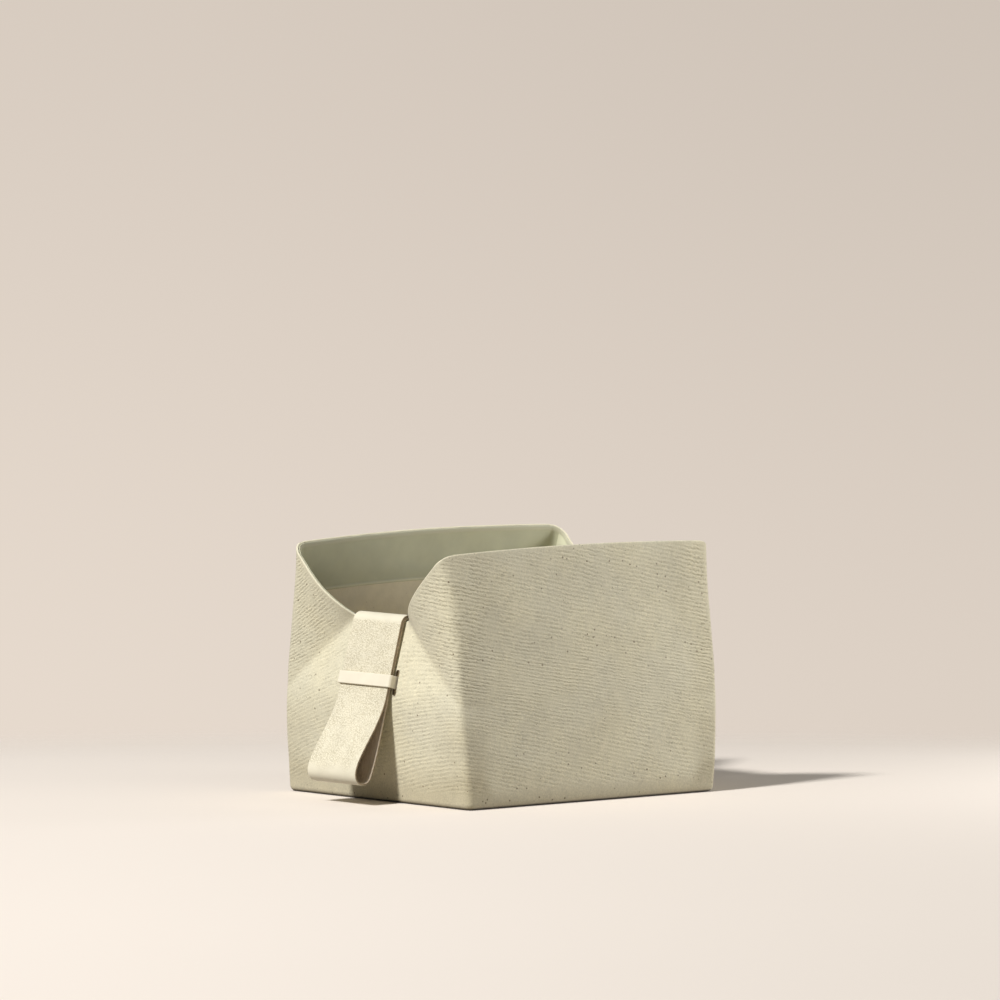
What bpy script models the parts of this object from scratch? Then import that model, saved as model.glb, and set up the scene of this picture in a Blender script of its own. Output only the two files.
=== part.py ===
"""Fabric storage bin with a dipped rim at each end, held down by a leather pull strap.

X runs across the bin, Y along it and Z up. The origin is at the middle of the base, on the
surface that the bin stands on. Dimensions below are in millimetres; meshes are in metres.
The bin is the same at both ends and on both sides, so one quarter of its wall describes it.
"""

import math

import bmesh
import bpy
from mathutils import Vector

MM = 0.001

# Wall outline
BASE_HALF_X = 90.5          # half width just above the base edge
BASE_HALF_Y = 103.5         # half length just above the base edge
BASE_EDGE_RADIUS = 4.0      # round of the edge between wall and base
RIM_HALF_X = 75.0           # half width at the corners of the rim
RIM_CORNER_Z = 160.3        # height of the rim's corners
RIM_CROWN = 2.4             # how much higher the rim is in the middle of a side
SIDE_LEAN_POWER = 1.9       # the side walls lean in late, near the rim
SIDE_BOW = 3.5              # how far the rim bows out in the middle of a side
BASE_CORNER_RADIUS = 5.0
RIM_CORNER_RADIUS = 11.0

# End walls: they lean out up to a soft bend, then in to the strap, between two slanting creases
BEND_Z = 68.0
BEND_SOFTNESS = 5.0
END_BULGE = 8.6             # how far the middle leans out at the bend
END_BULGE_DROP = 3.8        # how much less that is at the corners
END_LEAN = 0.29             # slope of the panel above the bend
CREASE_TOP_X = 25.0         # each crease starts beside the strap, at the rim
CREASE_TOP_Z = 117.0
CREASE_SLOPE = 0.8147       # and falls to the elbow of the corner
CREASE_SOFTNESS = 1.5
EAR_FLARE = 1.13            # the cloth above a crease flares out, most near the strap
EAR_FADE = 22.0
RIM_DIP_Z = 115.2           # rim height under the strap
RIM_DIP_HALF_X = 25.5
RIM_DIP_SLOPE = 0.905
RIM_DIP_SOFTNESS = 1.0

# Cloth and board
CANVAS = 1.4
FACING = 0.7
BINDING = 0.8
BOARD = 2.0
LINING = 1.0
GAP = 0.3                   # clearance between neighbouring pieces
SEAM_TRIM = 0.004           # share of the perimeter left open at each side of a corner seam
FACING_DEPTH = 33.5
HEM_LOWEST_Z = 85.5
RIM_EDGE = 0.8              # bare edge of canvas above the facing

# Strap: one leather strip, folded double, over the rim and down through the keeper
STRAP_HALF_WIDTH = 23.75
PLY = 1.3
PLY_GAP = 0.3
STRAP_LEAN = math.radians(15.0)
KEEPER_CENTRE = (-113.0, 78.0)      # Y, Z on the strap's outer face
HINGE_DROP = 10.0                   # from the keeper's centre down to where the loop swings
HINGE_OUT = 3.0                     # the leather bends round a line this far off its outer face
FOLD_START_Z = 114.0
FOLD_RADIUS_OUT = 5.0
FOLD_RADIUS_IN = 3.2
TAIL_START = (-97.8, 101.0)
TAIL_END = (-100.6, 91.2)
LOOP_ARC_CENTRE = (-133.7, 20.2)
LOOP_ARC_RADIUS = 6.5
LOOP_BACK_ANGLE = math.radians(-23.0)
LOOP_FRONT_REACH = 20.0             # handle lengths of the two long curves of the loop
LOOP_FRONT_RISE = 10.8
LOOP_BACK_REACH = 16.0

# Keeper: a flat band round the strap, through a slot in the wall at each side of it
KEEPER_HEIGHT = 8.0
KEEPER_BAND = 1.4
KEEPER_HALF_WIDTH = 25.7
KEEPER_OUT = 1.7                    # beyond the strap's outer face
KEEPER_IN = 8.3                     # behind the strap's outer face
KEEPER_CORNER = 1.5
SLOT_CENTRE_X = 26.2
SLOT_WIDTH = 4.4
SLOT_LENGTH = 17.4
SLOT_DEPTH = 14.0

# Stitching that holds the strap's ends inside
STITCH_HALF_WIDTH = 18.0
STITCH_RADIUS = 0.4

ROLL_ROWS = (math.pi / 2, math.pi / 4, 0.0)
LOWER_ROWS_Z = (9.0, 25.0, 46.0, 62.0, 72.0)
MIDDLE_ROWS = 3
FACING_ROWS = 4
QUARTER_END = 0.4           # share of a quarter that is end wall
QUARTER_ARC = 0.2           # share that is the corner's arc
QUARTER_SIDE = 1 - QUARTER_END - QUARTER_ARC
BINDING_COLUMN = 0.95       # share of a flat stretch where the corner binding's edge lies
END_COLUMNS = (0.0, 0.16, 0.26, 0.335, 0.41, 0.52, 0.66, 0.83, BINDING_COLUMN, 1.0)
SIDE_COLUMNS = (0.0, 0.25, 0.5, 0.75, BINDING_COLUMN, 1.0)


# ---------------------------------------------------------------------------
# Shape of the wall
# ---------------------------------------------------------------------------

def soft_ramp(distance, softness):
    """Zero below zero and equal to the distance above it, with a soft bend between."""
    ratio = distance / softness
    if ratio > 30:
        return distance
    return softness * math.log1p(math.exp(ratio))


def smoothstep(value):
    value = min(max(value, 0.0), 1.0)
    return value * value * (3 - 2 * value)


def half_width(z):
    """Half width of the bin at its corners."""
    return BASE_HALF_X - (BASE_HALF_X - RIM_HALF_X) * (max(z, 0.0) / RIM_CORNER_Z) ** SIDE_LEAN_POWER


def corner_radius(z):
    share = smoothstep((z - BEND_Z) / (RIM_CORNER_Z - BEND_Z))
    return BASE_CORNER_RADIUS + (RIM_CORNER_RADIUS - BASE_CORNER_RADIUS) * share


def crease_height(x):
    return CREASE_TOP_Z - CREASE_SLOPE * (x - CREASE_TOP_X)


def end_wall_y(x, z):
    """Distance of an end wall's outer face from the middle of the bin, for x of zero or more."""
    bulge = END_BULGE - END_BULGE_DROP * (x / BASE_HALF_X) ** 2
    rise = bulge / (BEND_Z - BASE_EDGE_RADIUS)
    panel = BASE_HALF_Y + rise * (z - BASE_EDGE_RADIUS)
    panel -= (rise + END_LEAN) * soft_ramp(z - BEND_Z, BEND_SOFTNESS)
    flare = EAR_FLARE / (1 + max(x - CREASE_TOP_X, 0.0) / EAR_FADE)
    return panel + flare * soft_ramp(z - crease_height(x), CREASE_SOFTNESS)


def quarter_point(q, z):
    """A quarter of the outline at height z: q runs from the end's middle to the side's middle."""
    radius = corner_radius(z)
    arc_x = half_width(z) - radius
    arc_y = end_wall_y(arc_x, z) - radius
    if q <= QUARTER_END:
        x = arc_x * q / QUARTER_END
        return x, end_wall_y(x, z)
    if q <= QUARTER_END + QUARTER_ARC:
        angle = math.pi / 2 * (q - QUARTER_END) / QUARTER_ARC
        return arc_x + radius * math.sin(angle), arc_y + radius * math.cos(angle)
    share = (1 - q) / QUARTER_SIDE
    bow = SIDE_BOW * (z / RIM_CORNER_Z) ** 2 * (1 - share ** 2)
    return half_width(z) + bow, arc_y * share


def fold_perimeter(s):
    """Turn a place on the perimeter, 0 to 4 from the front's middle, into a quarter and its signs."""
    s %= 4
    if s < 1:
        return s, 1, -1
    if s < 2:
        return 2 - s, 1, 1
    if s < 3:
        return s - 2, -1, 1
    return 4 - s, -1, -1


def rim_height(s):
    q = fold_perimeter(s)[0]
    share = (1 - q) / QUARTER_SIDE
    if share < 1:
        return RIM_CORNER_Z + RIM_CROWN * (1 - share ** 2)
    z = RIM_CORNER_Z
    for _ in range(6):
        x = quarter_point(q, z)[0]
        z = RIM_DIP_Z + RIM_DIP_SLOPE * soft_ramp(x - RIM_DIP_HALF_X, RIM_DIP_SOFTNESS)
    return z


def outline_point(s, z):
    q, x_sign, y_sign = fold_perimeter(s)
    x, y = quarter_point(q, z)
    return Vector((x * x_sign, y * y_sign, z))


def wall_point(s, height):
    """Outer face of the wall: height above the base edge's round, or minus the arc length on it."""
    if height >= 0:
        return outline_point(s, BASE_EDGE_RADIUS + height)
    angle = -height / BASE_EDGE_RADIUS
    step = 0.001
    along = outline_point(s + step, BASE_EDGE_RADIUS) - outline_point(s - step, BASE_EDGE_RADIUS)
    inward = Vector((0, 0, 1)).cross(along).normalized()
    edge = outline_point(s, BASE_EDGE_RADIUS)
    edge += inward * BASE_EDGE_RADIUS * (1 - math.cos(angle))
    edge.z = BASE_EDGE_RADIUS * (1 - math.sin(angle))
    return edge


def layer_point(s, height, depth):
    """A point inside the wall, at a depth behind its outer face."""
    along = wall_point(s + 0.001, height) - wall_point(s - 0.001, height)
    up = wall_point(s, height + 0.1) - wall_point(s, height - 0.1)
    return wall_point(s, height) - along.cross(up).normalized() * depth


# ---------------------------------------------------------------------------
# Building blocks
# ---------------------------------------------------------------------------

def clear_scene():
    for obj in list(bpy.data.objects):
        bpy.data.objects.remove(obj, do_unlink=True)


def make_material(name, colour, roughness):
    material = bpy.data.materials.new(name)
    material.use_nodes = True
    shader = material.node_tree.nodes["Principled BSDF"]
    shader.inputs["Base Color"].default_value = (*colour, 1.0)
    shader.inputs["Roughness"].default_value = roughness
    shader.inputs["Metallic"].default_value = 0.0
    return material


def add_object(name, points, faces, material=None, origin=(0.0, 0.0, 0.0)):
    """Make an object from points in millimetres, with its own origin, and faces that point out."""
    mesh = bpy.data.meshes.new(name)
    start = Vector(origin)
    mesh.from_pydata([(Vector(point) - start) * MM for point in points], [], faces)
    build = bmesh.new()
    build.from_mesh(mesh)
    bmesh.ops.recalc_face_normals(build, faces=build.faces)
    build.to_mesh(mesh)
    build.free()
    obj = bpy.data.objects.new(name, mesh)
    obj.location = start * MM
    bpy.context.scene.collection.objects.link(obj)
    if material:
        mesh.materials.append(material)
    return obj


def layer_solid(name, material, columns, heights, depth_out, depth_in):
    """A piece of cloth in the wall: heights(s) gives each column's rows, from low to high."""
    points = []
    for s in columns:
        rows = heights(s)
        for depth in (depth_out, depth_in):
            points += [layer_point(s, height, depth) for height in rows]
    row_count = len(heights(columns[0]))
    column_size = 2 * row_count
    faces = []
    for column in range(len(columns) - 1):
        near = column * column_size
        far = near + column_size
        for row in range(row_count - 1):
            for side in (0, row_count):
                a, b = near + side + row, far + side + row
                faces.append((a, b, b + 1, a + 1))
        for row in (0, row_count - 1):
            faces.append((near + row, far + row, far + row + row_count, near + row + row_count))
    for column in (0, (len(columns) - 1) * column_size):
        for row in range(row_count - 1):
            a = column + row
            faces.append((a, a + 1, a + 1 + row_count, a + row_count))
    return add_object(name, points, faces, material)


def prism(name, outline, depth_vector, material=None, origin=(0.0, 0.0, 0.0)):
    """Extrude a closed outline of points along a vector, to a solid."""
    count = len(outline)
    step = Vector(depth_vector)
    points = [Vector(point) for point in outline]
    points += [point + step for point in points]
    faces = [tuple(range(count)), tuple(range(count, 2 * count))]
    for i in range(count):
        j = (i + 1) % count
        faces.append((i, j, j + count, i + count))
    return add_object(name, points, faces, material, origin)


def ribbon(name, path, half_thickness, y_sign, material, origin):
    """Extrude a strip of the strap's width, whose edge follows a path of (y, z) points."""
    left, right = [], []
    for i, (y, z) in enumerate(path):
        before = Vector(path[max(i - 1, 0)])
        after = Vector(path[min(i + 1, len(path) - 1)])
        along = (after - before).normalized()
        offset = Vector((along.y, -along.x)) * half_thickness
        left.append(Vector((y, z)) + offset)
        right.append(Vector((y, z)) - offset)
    points = []
    for pair in zip(left, right):
        for x in (-STRAP_HALF_WIDTH, STRAP_HALF_WIDTH):
            points += [Vector((x, y_sign * place.x, place.y)) for place in pair]
    faces = []
    for i in range(len(path) - 1):
        a, b = 4 * i, 4 * (i + 1)
        for p, q in ((0, 1), (1, 3), (3, 2), (2, 0)):
            faces.append((a + p, a + q, b + q, b + p))
    last = 4 * (len(path) - 1)
    faces += [(0, 1, 3, 2), (last, last + 1, last + 3, last + 2)]
    return add_object(name, points, faces, material, origin)


def arc(centre, radius, start, end, count):
    """Points on an arc in the (y, z) plane, both ends included."""
    angles = [start + (end - start) * i / count for i in range(count + 1)]
    return [(centre[0] + radius * math.cos(a), centre[1] + radius * math.sin(a)) for a in angles]


def bezier(p0, p1, p2, p3, count):
    points = []
    for i in range(count + 1):
        t = i / count
        weights = ((1 - t) ** 3, 3 * t * (1 - t) ** 2, 3 * t ** 2 * (1 - t), t ** 3)
        points.append(tuple(sum(w * p[k] for w, p in zip(weights, (p0, p1, p2, p3))) for k in (0, 1)))
    return points


def rounded_rectangle(half_x, half_y, radius, count=3):
    """Outline of a plate in plan."""
    points = []
    for index, (x_sign, y_sign) in enumerate(((1, 1), (-1, 1), (-1, -1), (1, -1))):
        centre = (x_sign * (half_x - radius), y_sign * (half_y - radius))
        points += arc(centre, radius, index * math.pi / 2, (index + 1) * math.pi / 2, count)
    return points


# ---------------------------------------------------------------------------
# The strap's frame: along it, and out of its outer face, at the front end
# ---------------------------------------------------------------------------

DOWN = Vector((-math.sin(STRAP_LEAN), -math.cos(STRAP_LEAN)))
OUT = Vector((-math.cos(STRAP_LEAN), math.sin(STRAP_LEAN)))
STRAP_THICKNESS = 2 * PLY + PLY_GAP


def strap_place(drop, out):
    """(y, z) at a drop below the keeper's centre and a distance out of the strap's outer face."""
    return Vector(KEEPER_CENTRE) + DOWN * drop + OUT * out


def hinge_origin(y_sign):
    place = strap_place(HINGE_DROP, HINGE_OUT)
    return (0.0, -y_sign * place.x, place.y)


def upper_strap_path():
    """Middle of the double strip, from the hinge over the rim to its sewn end inside."""
    start = strap_place(HINGE_DROP - GAP / 2, -STRAP_THICKNESS / 2)
    keeper = strap_place(-8.0, -STRAP_THICKNESS / 2)
    rise = FOLD_START_Z - start.y
    fold_y = start.x + rise * math.tan(STRAP_LEAN)
    centre_out = Vector((fold_y, FOLD_START_Z)) - OUT * FOLD_RADIUS_OUT
    path = [tuple(start), tuple(keeper)]
    path += arc(centre_out, FOLD_RADIUS_OUT, math.pi - STRAP_LEAN, math.pi / 2, 6)
    centre_in = (centre_out.x, centre_out.y + FOLD_RADIUS_OUT - FOLD_RADIUS_IN)
    path += arc(centre_in, FOLD_RADIUS_IN, math.pi / 2, 0.0, 5)[1:]
    leave = Vector(path[-1])
    tail_start, tail_end = Vector(TAIL_START), Vector(TAIL_END)
    tail = (tail_end - tail_start).normalized()
    path += bezier(leave, leave + Vector((0, -5)), tail_start - tail * 5, tail_start, 5)[1:]
    path.append(TAIL_END)
    return path


def loop_path():
    """Middle of the single strip, down the front of the loop, round and up its back."""
    front = strap_place(HINGE_DROP + GAP / 2, -PLY / 2)
    back = strap_place(HINGE_DROP + GAP / 2, -PLY * 1.5 - PLY_GAP)
    turn = arc(LOOP_ARC_CENTRE, LOOP_ARC_RADIUS, math.pi, 2 * math.pi + LOOP_BACK_ANGLE, 12)
    turn_out = Vector((-math.sin(LOOP_BACK_ANGLE), math.cos(LOOP_BACK_ANGLE)))
    front_turn, back_turn = Vector(turn[0]), Vector(turn[-1])
    path = bezier(front, front + DOWN * LOOP_FRONT_REACH,
                  front_turn + Vector((0, LOOP_FRONT_RISE)), front_turn, 10)
    path += turn[1:]
    path += bezier(back_turn, back_turn + turn_out * LOOP_BACK_REACH,
                   back + DOWN * LOOP_BACK_REACH, back, 8)[1:]
    return path


# ---------------------------------------------------------------------------
# Pieces
# ---------------------------------------------------------------------------

def hem_height(s):
    return max(rim_height(s) - FACING_DEPTH, HEM_LOWEST_Z)


def spaced(low, high, count):
    """Evenly spaced heights above low, the last one at high."""
    return [low + (high - low) * (i + 1) / count for i in range(count)]


def wall_rows(s):
    """Row heights that every cloth piece of the wall shares, so that the pieces stay apart."""
    hem, rim = hem_height(s), rim_height(s)
    rows = [-angle * BASE_EDGE_RADIUS for angle in ROLL_ROWS]
    levels = list(LOWER_ROWS_Z) + spaced(LOWER_ROWS_Z[-1], hem, MIDDLE_ROWS)
    levels += spaced(hem, rim, FACING_ROWS)
    return rows + [level - BASE_EDGE_RADIUS for level in levels]


def facing_rows(s):
    rows = wall_rows(s)[-FACING_ROWS - 1:]
    rows[-1] -= RIM_EDGE
    return rows


def binding_rows(s):
    rows = wall_rows(s)[len(ROLL_ROWS):-FACING_ROWS]
    rows[-1] -= 2 * GAP
    return rows


def panel_columns(middle, flat, shares):
    """Places of a panel's columns, from seam to seam; flat is its stretch up to each corner's arc."""
    half = [flat * share for share in shares]
    half += [flat + QUARTER_ARC / 4, flat + QUARTER_ARC / 2 - SEAM_TRIM]
    return [middle - q for q in reversed(half[1:])] + [middle + q for q in half]


def add_slots(panel, y_sign):
    """Cut a slot through an end panel at each side of the strap."""
    for x_sign in (-1, 1):
        outline = []
        for end in (-1, 1):
            start = math.pi / 2 * (1 - end)
            for dx, drop in arc((0, 0), SLOT_WIDTH / 2, start, start + math.pi, 4):
                place = strap_place(drop + end * (SLOT_LENGTH - SLOT_WIDTH) / 2, 0)
                outline.append((x_sign * SLOT_CENTRE_X + dx, -y_sign * place.x, place.y))
        inward = Vector((0, y_sign * OUT.x, -OUT.y)) * SLOT_DEPTH
        cutter = prism("slot_cutter", outline, inward)
        cutter.hide_render = True
        cutter.display_type = "WIRE"
        cut = panel.modifiers.new("slot", "BOOLEAN")
        cut.operation = "DIFFERENCE"
        cut.solver = "EXACT"
        cut.object = cutter


def add_walls(canvas, facing, binding):
    """Canvas panels, the facing inside the rim and the bindings of the corner seams."""
    depth = CANVAS + GAP
    for index, word in enumerate(("front", "right", "back", "left")):
        is_end = index % 2 == 0
        flat = QUARTER_END if is_end else QUARTER_SIDE
        columns = panel_columns(index, flat, END_COLUMNS if is_end else SIDE_COLUMNS)
        panel = layer_solid(f"canvas_panel_{word}", canvas, columns, wall_rows, 0.0, CANVAS)
        layer_solid(f"facing_{word}", facing, columns, facing_rows, depth, depth + FACING)
        if is_end:
            add_slots(panel, index - 1)
    to_end = QUARTER_ARC / 2 + QUARTER_END * (1 - BINDING_COLUMN)
    to_side = QUARTER_ARC / 2 + QUARTER_SIDE * (1 - BINDING_COLUMN)
    for index, word in enumerate(("front_right", "back_right", "back_left", "front_left")):
        low, high = (to_end, to_side) if index % 2 == 0 else (to_side, to_end)
        spread = (-low, -QUARTER_ARC / 2, -QUARTER_ARC / 4, 0.0, QUARTER_ARC / 4, QUARTER_ARC / 2, high)
        columns = [index + QUARTER_END + QUARTER_ARC / 2 + offset for offset in spread]
        layer_solid(f"seam_binding_{word}", binding, columns, binding_rows, depth, depth + BINDING)


def add_plate(name, material, half_x, half_y, radius, low, thickness):
    outline = [(x, y, low) for x, y in rounded_rectangle(half_x, half_y, radius)]
    prism(name, outline, (0, 0, thickness), material)


def add_base(canvas, board, lining):
    """Base panel, the stiff board on it and the lining over the board."""
    half_x = BASE_HALF_X - BASE_EDGE_RADIUS - GAP
    half_y = BASE_HALF_Y - BASE_EDGE_RADIUS - GAP
    low = CANVAS + GAP
    add_plate("canvas_base", canvas, half_x, half_y, 1.0, 0.0, CANVAS)
    add_plate("base_board", board, half_x, half_y, 2.0, low, BOARD)
    low += BOARD + GAP
    inset = CANVAS + 2 * GAP
    add_plate("base_lining", lining, BASE_HALF_X - inset, BASE_HALF_Y - inset, 3.5, low, LINING)


def add_strap(word, y_sign, leather):
    """The strip's fixed upper part, and its loop with the origin on the line where it swings."""
    ribbon(f"strap_{word}", upper_strap_path(), STRAP_THICKNESS / 2, -y_sign, leather, (0, 0, 0))
    ribbon(f"strap_loop_{word}", loop_path(), PLY / 2, -y_sign, leather, hinge_origin(y_sign))


def add_keeper(word, y_sign, leather):
    """A band bent to a closed rectangle, square to the strap."""
    middle = (KEEPER_OUT - KEEPER_IN) / 2
    half_depth = (KEEPER_OUT + KEEPER_IN) / 2
    inner_corner = max(KEEPER_CORNER - KEEPER_BAND, 0.3)
    outer = rounded_rectangle(KEEPER_HALF_WIDTH, half_depth, KEEPER_CORNER)
    inner = rounded_rectangle(KEEPER_HALF_WIDTH - KEEPER_BAND, half_depth - KEEPER_BAND, inner_corner)
    count = len(outer)
    points = []
    for drop in (-KEEPER_HEIGHT / 2, KEEPER_HEIGHT / 2):
        for ring in (outer, inner):
            for x, out in ring:
                place = strap_place(drop, middle + out)
                points.append((x, -y_sign * place.x, place.y))
    faces = []
    for i in range(count):
        j = (i + 1) % count
        for a, b in ((0, 1), (1, 3), (3, 2), (2, 0)):
            faces.append((a * count + i, a * count + j, b * count + j, b * count + i))
    centre = strap_place(0, middle)
    add_object(f"keeper_{word}", points, faces, leather, (0.0, -y_sign * centre.x, centre.y))


def add_stitching(word, y_sign, thread):
    """A closed row of thread on the inside of the strap's sewn end."""
    top, bottom = Vector(TAIL_START), Vector(TAIL_END)
    along = (bottom - top).normalized()
    inward = Vector((-along.y, along.x))
    lift = STRAP_THICKNESS / 2 + GAP + STITCH_RADIUS
    sides = 6
    points = []
    for x_sign, drop in ((-1, 1.0), (1, 1.0), (1, 9.0), (-1, 9.0)):
        spread = Vector((x_sign, -1 if drop < 5 else 1))
        for k in range(sides):
            angle = 2 * math.pi * k / sides
            aside = STITCH_RADIUS * math.cos(angle)
            place = top + along * (drop + spread.y * aside)
            place += inward * (lift + STITCH_RADIUS * math.sin(angle))
            x = x_sign * STITCH_HALF_WIDTH + spread.x * aside
            points.append((x, -y_sign * place.x, place.y))
    faces = []
    for corner in range(4):
        near, far = corner * sides, (corner + 1) % 4 * sides
        for k in range(sides):
            j = (k + 1) % sides
            faces.append((near + k, near + j, far + j, far + k))
    add_object(f"strap_stitching_{word}", points, faces, thread)


def main():
    clear_scene()
    canvas = make_material("canvas", (0.55, 0.49, 0.36), 0.9)
    facing = make_material("sage_facing", (0.34, 0.36, 0.24), 0.55)
    binding = make_material("binding_tape", (0.50, 0.44, 0.33), 0.9)
    board = make_material("fibre_board", (0.45, 0.38, 0.28), 0.85)
    leather = make_material("strap_leather", (0.78, 0.71, 0.57), 0.5)
    band = make_material("keeper_leather", (0.78, 0.70, 0.58), 0.45)
    thread = make_material("thread", (0.75, 0.69, 0.56), 0.7)
    add_walls(canvas, facing, binding)
    add_base(canvas, board, canvas)
    for word, y_sign in (("front", -1), ("back", 1)):
        add_strap(word, y_sign, leather)
        add_keeper(word, y_sign, band)
        add_stitching(word, y_sign, thread)


main()
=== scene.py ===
"""Looks of the fabric storage bin: fine cloth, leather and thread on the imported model's frame.

Shapes are worked out in millimetres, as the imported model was, and meshes are stored in metres.
X runs across the bin, Y along it and Z up, and the end towards -Y is the front.
"""

import math

import bmesh
import bpy
import numpy as np
from mathutils import Matrix, Vector, noise


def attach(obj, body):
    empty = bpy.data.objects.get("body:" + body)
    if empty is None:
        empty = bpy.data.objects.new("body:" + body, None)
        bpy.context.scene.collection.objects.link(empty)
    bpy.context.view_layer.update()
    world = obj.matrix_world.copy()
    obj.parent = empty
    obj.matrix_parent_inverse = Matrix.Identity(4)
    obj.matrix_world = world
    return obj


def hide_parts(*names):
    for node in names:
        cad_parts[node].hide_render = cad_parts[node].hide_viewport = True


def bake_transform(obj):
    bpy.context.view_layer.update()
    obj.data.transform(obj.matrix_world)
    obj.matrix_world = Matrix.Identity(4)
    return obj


MM = 0.001

# Wall outline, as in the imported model
BASE_HALF_X = 90.5
BASE_HALF_Y = 103.5
BASE_EDGE_RADIUS = 4.0
RIM_HALF_X = 75.0
RIM_CORNER_Z = 160.3
RIM_CROWN = 2.4
SIDE_LEAN_POWER = 1.9
SIDE_BOW = 3.5
BASE_CORNER_RADIUS = 5.0
RIM_CORNER_RADIUS = 11.0
BEND_Z = 68.0
BEND_SOFTNESS = 5.0
END_BULGE = 8.6
END_BULGE_DROP = 3.8
END_LEAN = 0.29
CREASE_TOP_X = 25.0
CREASE_TOP_Z = 117.0
CREASE_SLOPE = 0.8147
CREASE_SOFTNESS = 1.5
EAR_FLARE = 1.13
EAR_FADE = 22.0
RIM_DIP_Z = 115.2
RIM_DIP_HALF_X = 25.5
RIM_DIP_SLOPE = 0.905
RIM_DIP_SOFTNESS = 1.0
QUARTER_END = 0.4
QUARTER_ARC = 0.2
QUARTER_SIDE = 1 - QUARTER_END - QUARTER_ARC

# Cloth
CANVAS = 1.4
FACING = 0.7
BINDING = 0.8
BOARD = 2.0
LINING = 1.0
GAP = 0.3
FACING_DEPTH = 33.5
HEM_LOWEST_Z = 85.5
RIM_EDGE = 0.8
STITCH_INSET = 6.0           # from the lining's edge to its line of stitches
BINDING_REACH = 0.12         # share of a wall that a seam binding covers each side of its corner
RIM_RISE = 3.0               # the far left corner of the rim stands this much higher

# Strap and keeper
STRAP_HALF_WIDTH = 23.75
PLY = 1.3
PLY_GAP = 0.3
STRAP_LEAN = math.radians(15.0)
KEEPER_CENTRE = (-113.0, 78.0)
HINGE_DROP = 10.0
FOLD_START_Z = 114.0
FOLD_RADIUS_OUT = 5.0
FOLD_RADIUS_IN = 3.2
TAIL_START = (-97.8, 101.0)
TAIL_END = (-100.6, 91.2)
LOOP_ARC_CENTRE = (-133.7, 20.2)
LOOP_ARC_RADIUS = 6.5
LOOP_BACK_ANGLE = math.radians(-23.0)
LOOP_FRONT_REACH = 20.0
LOOP_FRONT_RISE = 10.8
LOOP_BACK_REACH = 16.0
KEEPER_HEIGHT = 8.0
KEEPER_BAND = 1.4
KEEPER_HALF_WIDTH = 25.7
KEEPER_OUT = 1.7
KEEPER_IN = 8.3
SLOT_CENTRE_X = 25.4
SLOT_HALF_WIDTH = 1.7
SLOT_HALF_LENGTH = 8.3
SLOT_EDGE = 0.2              # thickness of the leather edge in each slot
SLOT_REACH = 14.0
LAP_HALF_LENGTH = 8.0
LAP_PLY = 1.2
STITCH_HALF_WIDTH = 18.0

# Canvas ribs
RIB_PITCH = 2.65
RIB_RELIEF = 0.055
RIM_HIGHLIGHT = (1.0, 0.0, 1.0, 1.0)    # painted highlight on each panel's rim, 1 is a full cream highlight
RIB_FREE_EDGE = 7.0         # no ribs this close to the base edge

# Light and the camera: powers in watts, the key light in W/m2, places in metres
SUN_STRENGTH = 3.7
SUN_TRAVEL = (-0.06, 0.94, -1.0)
SUN_ANGLE = math.radians(8.0)
REAR_POWER = 4.2
REAR_PLACE = (0.42, 0.70, 0.12)
REAR_TARGET = (0.09, 0.06, 0.08)
REAR_SIZE = 0.3
SKY_LOW = 0.12               # radiance of the sky at the horizon, and how much more straight up
SKY_RISE = 0.08
CAMERA_AZIMUTH = math.radians(49.8)
CAMERA_ELEVATION = math.radians(4.67)
CAMERA_DISTANCE = 6.4
CAMERA_LENS = 360.0
CAMERA_PIVOT = Vector((0.0, 0.0, 0.08))
AIM_UP = 0.1065
AIM_RIGHT = -0.001
FLOOR_BOUNCE = 0.52         # share of its colour that the floor throws back on the bin
FLOOR_SHIFT = 1.45            # the floor's middle is this far towards the camera
FLOOR_RADIUS = 1.95
FLOOR_FADE = 0.26
FLOOR_DROP = 0.02            # the floor lies this many millimetres below the bin
FLOOR_SIDES = 96


# --- Shape of the wall, on arrays: s runs round the perimeter from 0 to 4, from the front's middle

def soft_ramp(distance, softness):
    """Zero below zero and equal to the distance above it, with a soft bend between."""
    return softness * np.logaddexp(0.0, distance / softness)


def smoothstep(value):
    value = np.clip(value, 0.0, 1.0)
    return value * value * (3 - 2 * value)


def half_width(z):
    return BASE_HALF_X - (BASE_HALF_X - RIM_HALF_X) * (np.maximum(z, 0.0) / RIM_CORNER_Z) ** SIDE_LEAN_POWER


def corner_radius(z):
    share = smoothstep((z - BEND_Z) / (RIM_CORNER_Z - BEND_Z))
    return BASE_CORNER_RADIUS + (RIM_CORNER_RADIUS - BASE_CORNER_RADIUS) * share


def end_wall_y(x, z):
    """Distance of an end wall's outer face from the middle of the bin, for x of zero or more."""
    bulge = END_BULGE - END_BULGE_DROP * (x / BASE_HALF_X) ** 2
    rise = bulge / (BEND_Z - BASE_EDGE_RADIUS)
    panel = BASE_HALF_Y + rise * (z - BASE_EDGE_RADIUS)
    panel = panel - (rise + END_LEAN) * soft_ramp(z - BEND_Z, BEND_SOFTNESS)
    flare = EAR_FLARE / (1 + np.maximum(x - CREASE_TOP_X, 0.0) / EAR_FADE)
    crease = CREASE_TOP_Z - CREASE_SLOPE * (x - CREASE_TOP_X)
    return panel + flare * soft_ramp(z - crease, CREASE_SOFTNESS)


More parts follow.
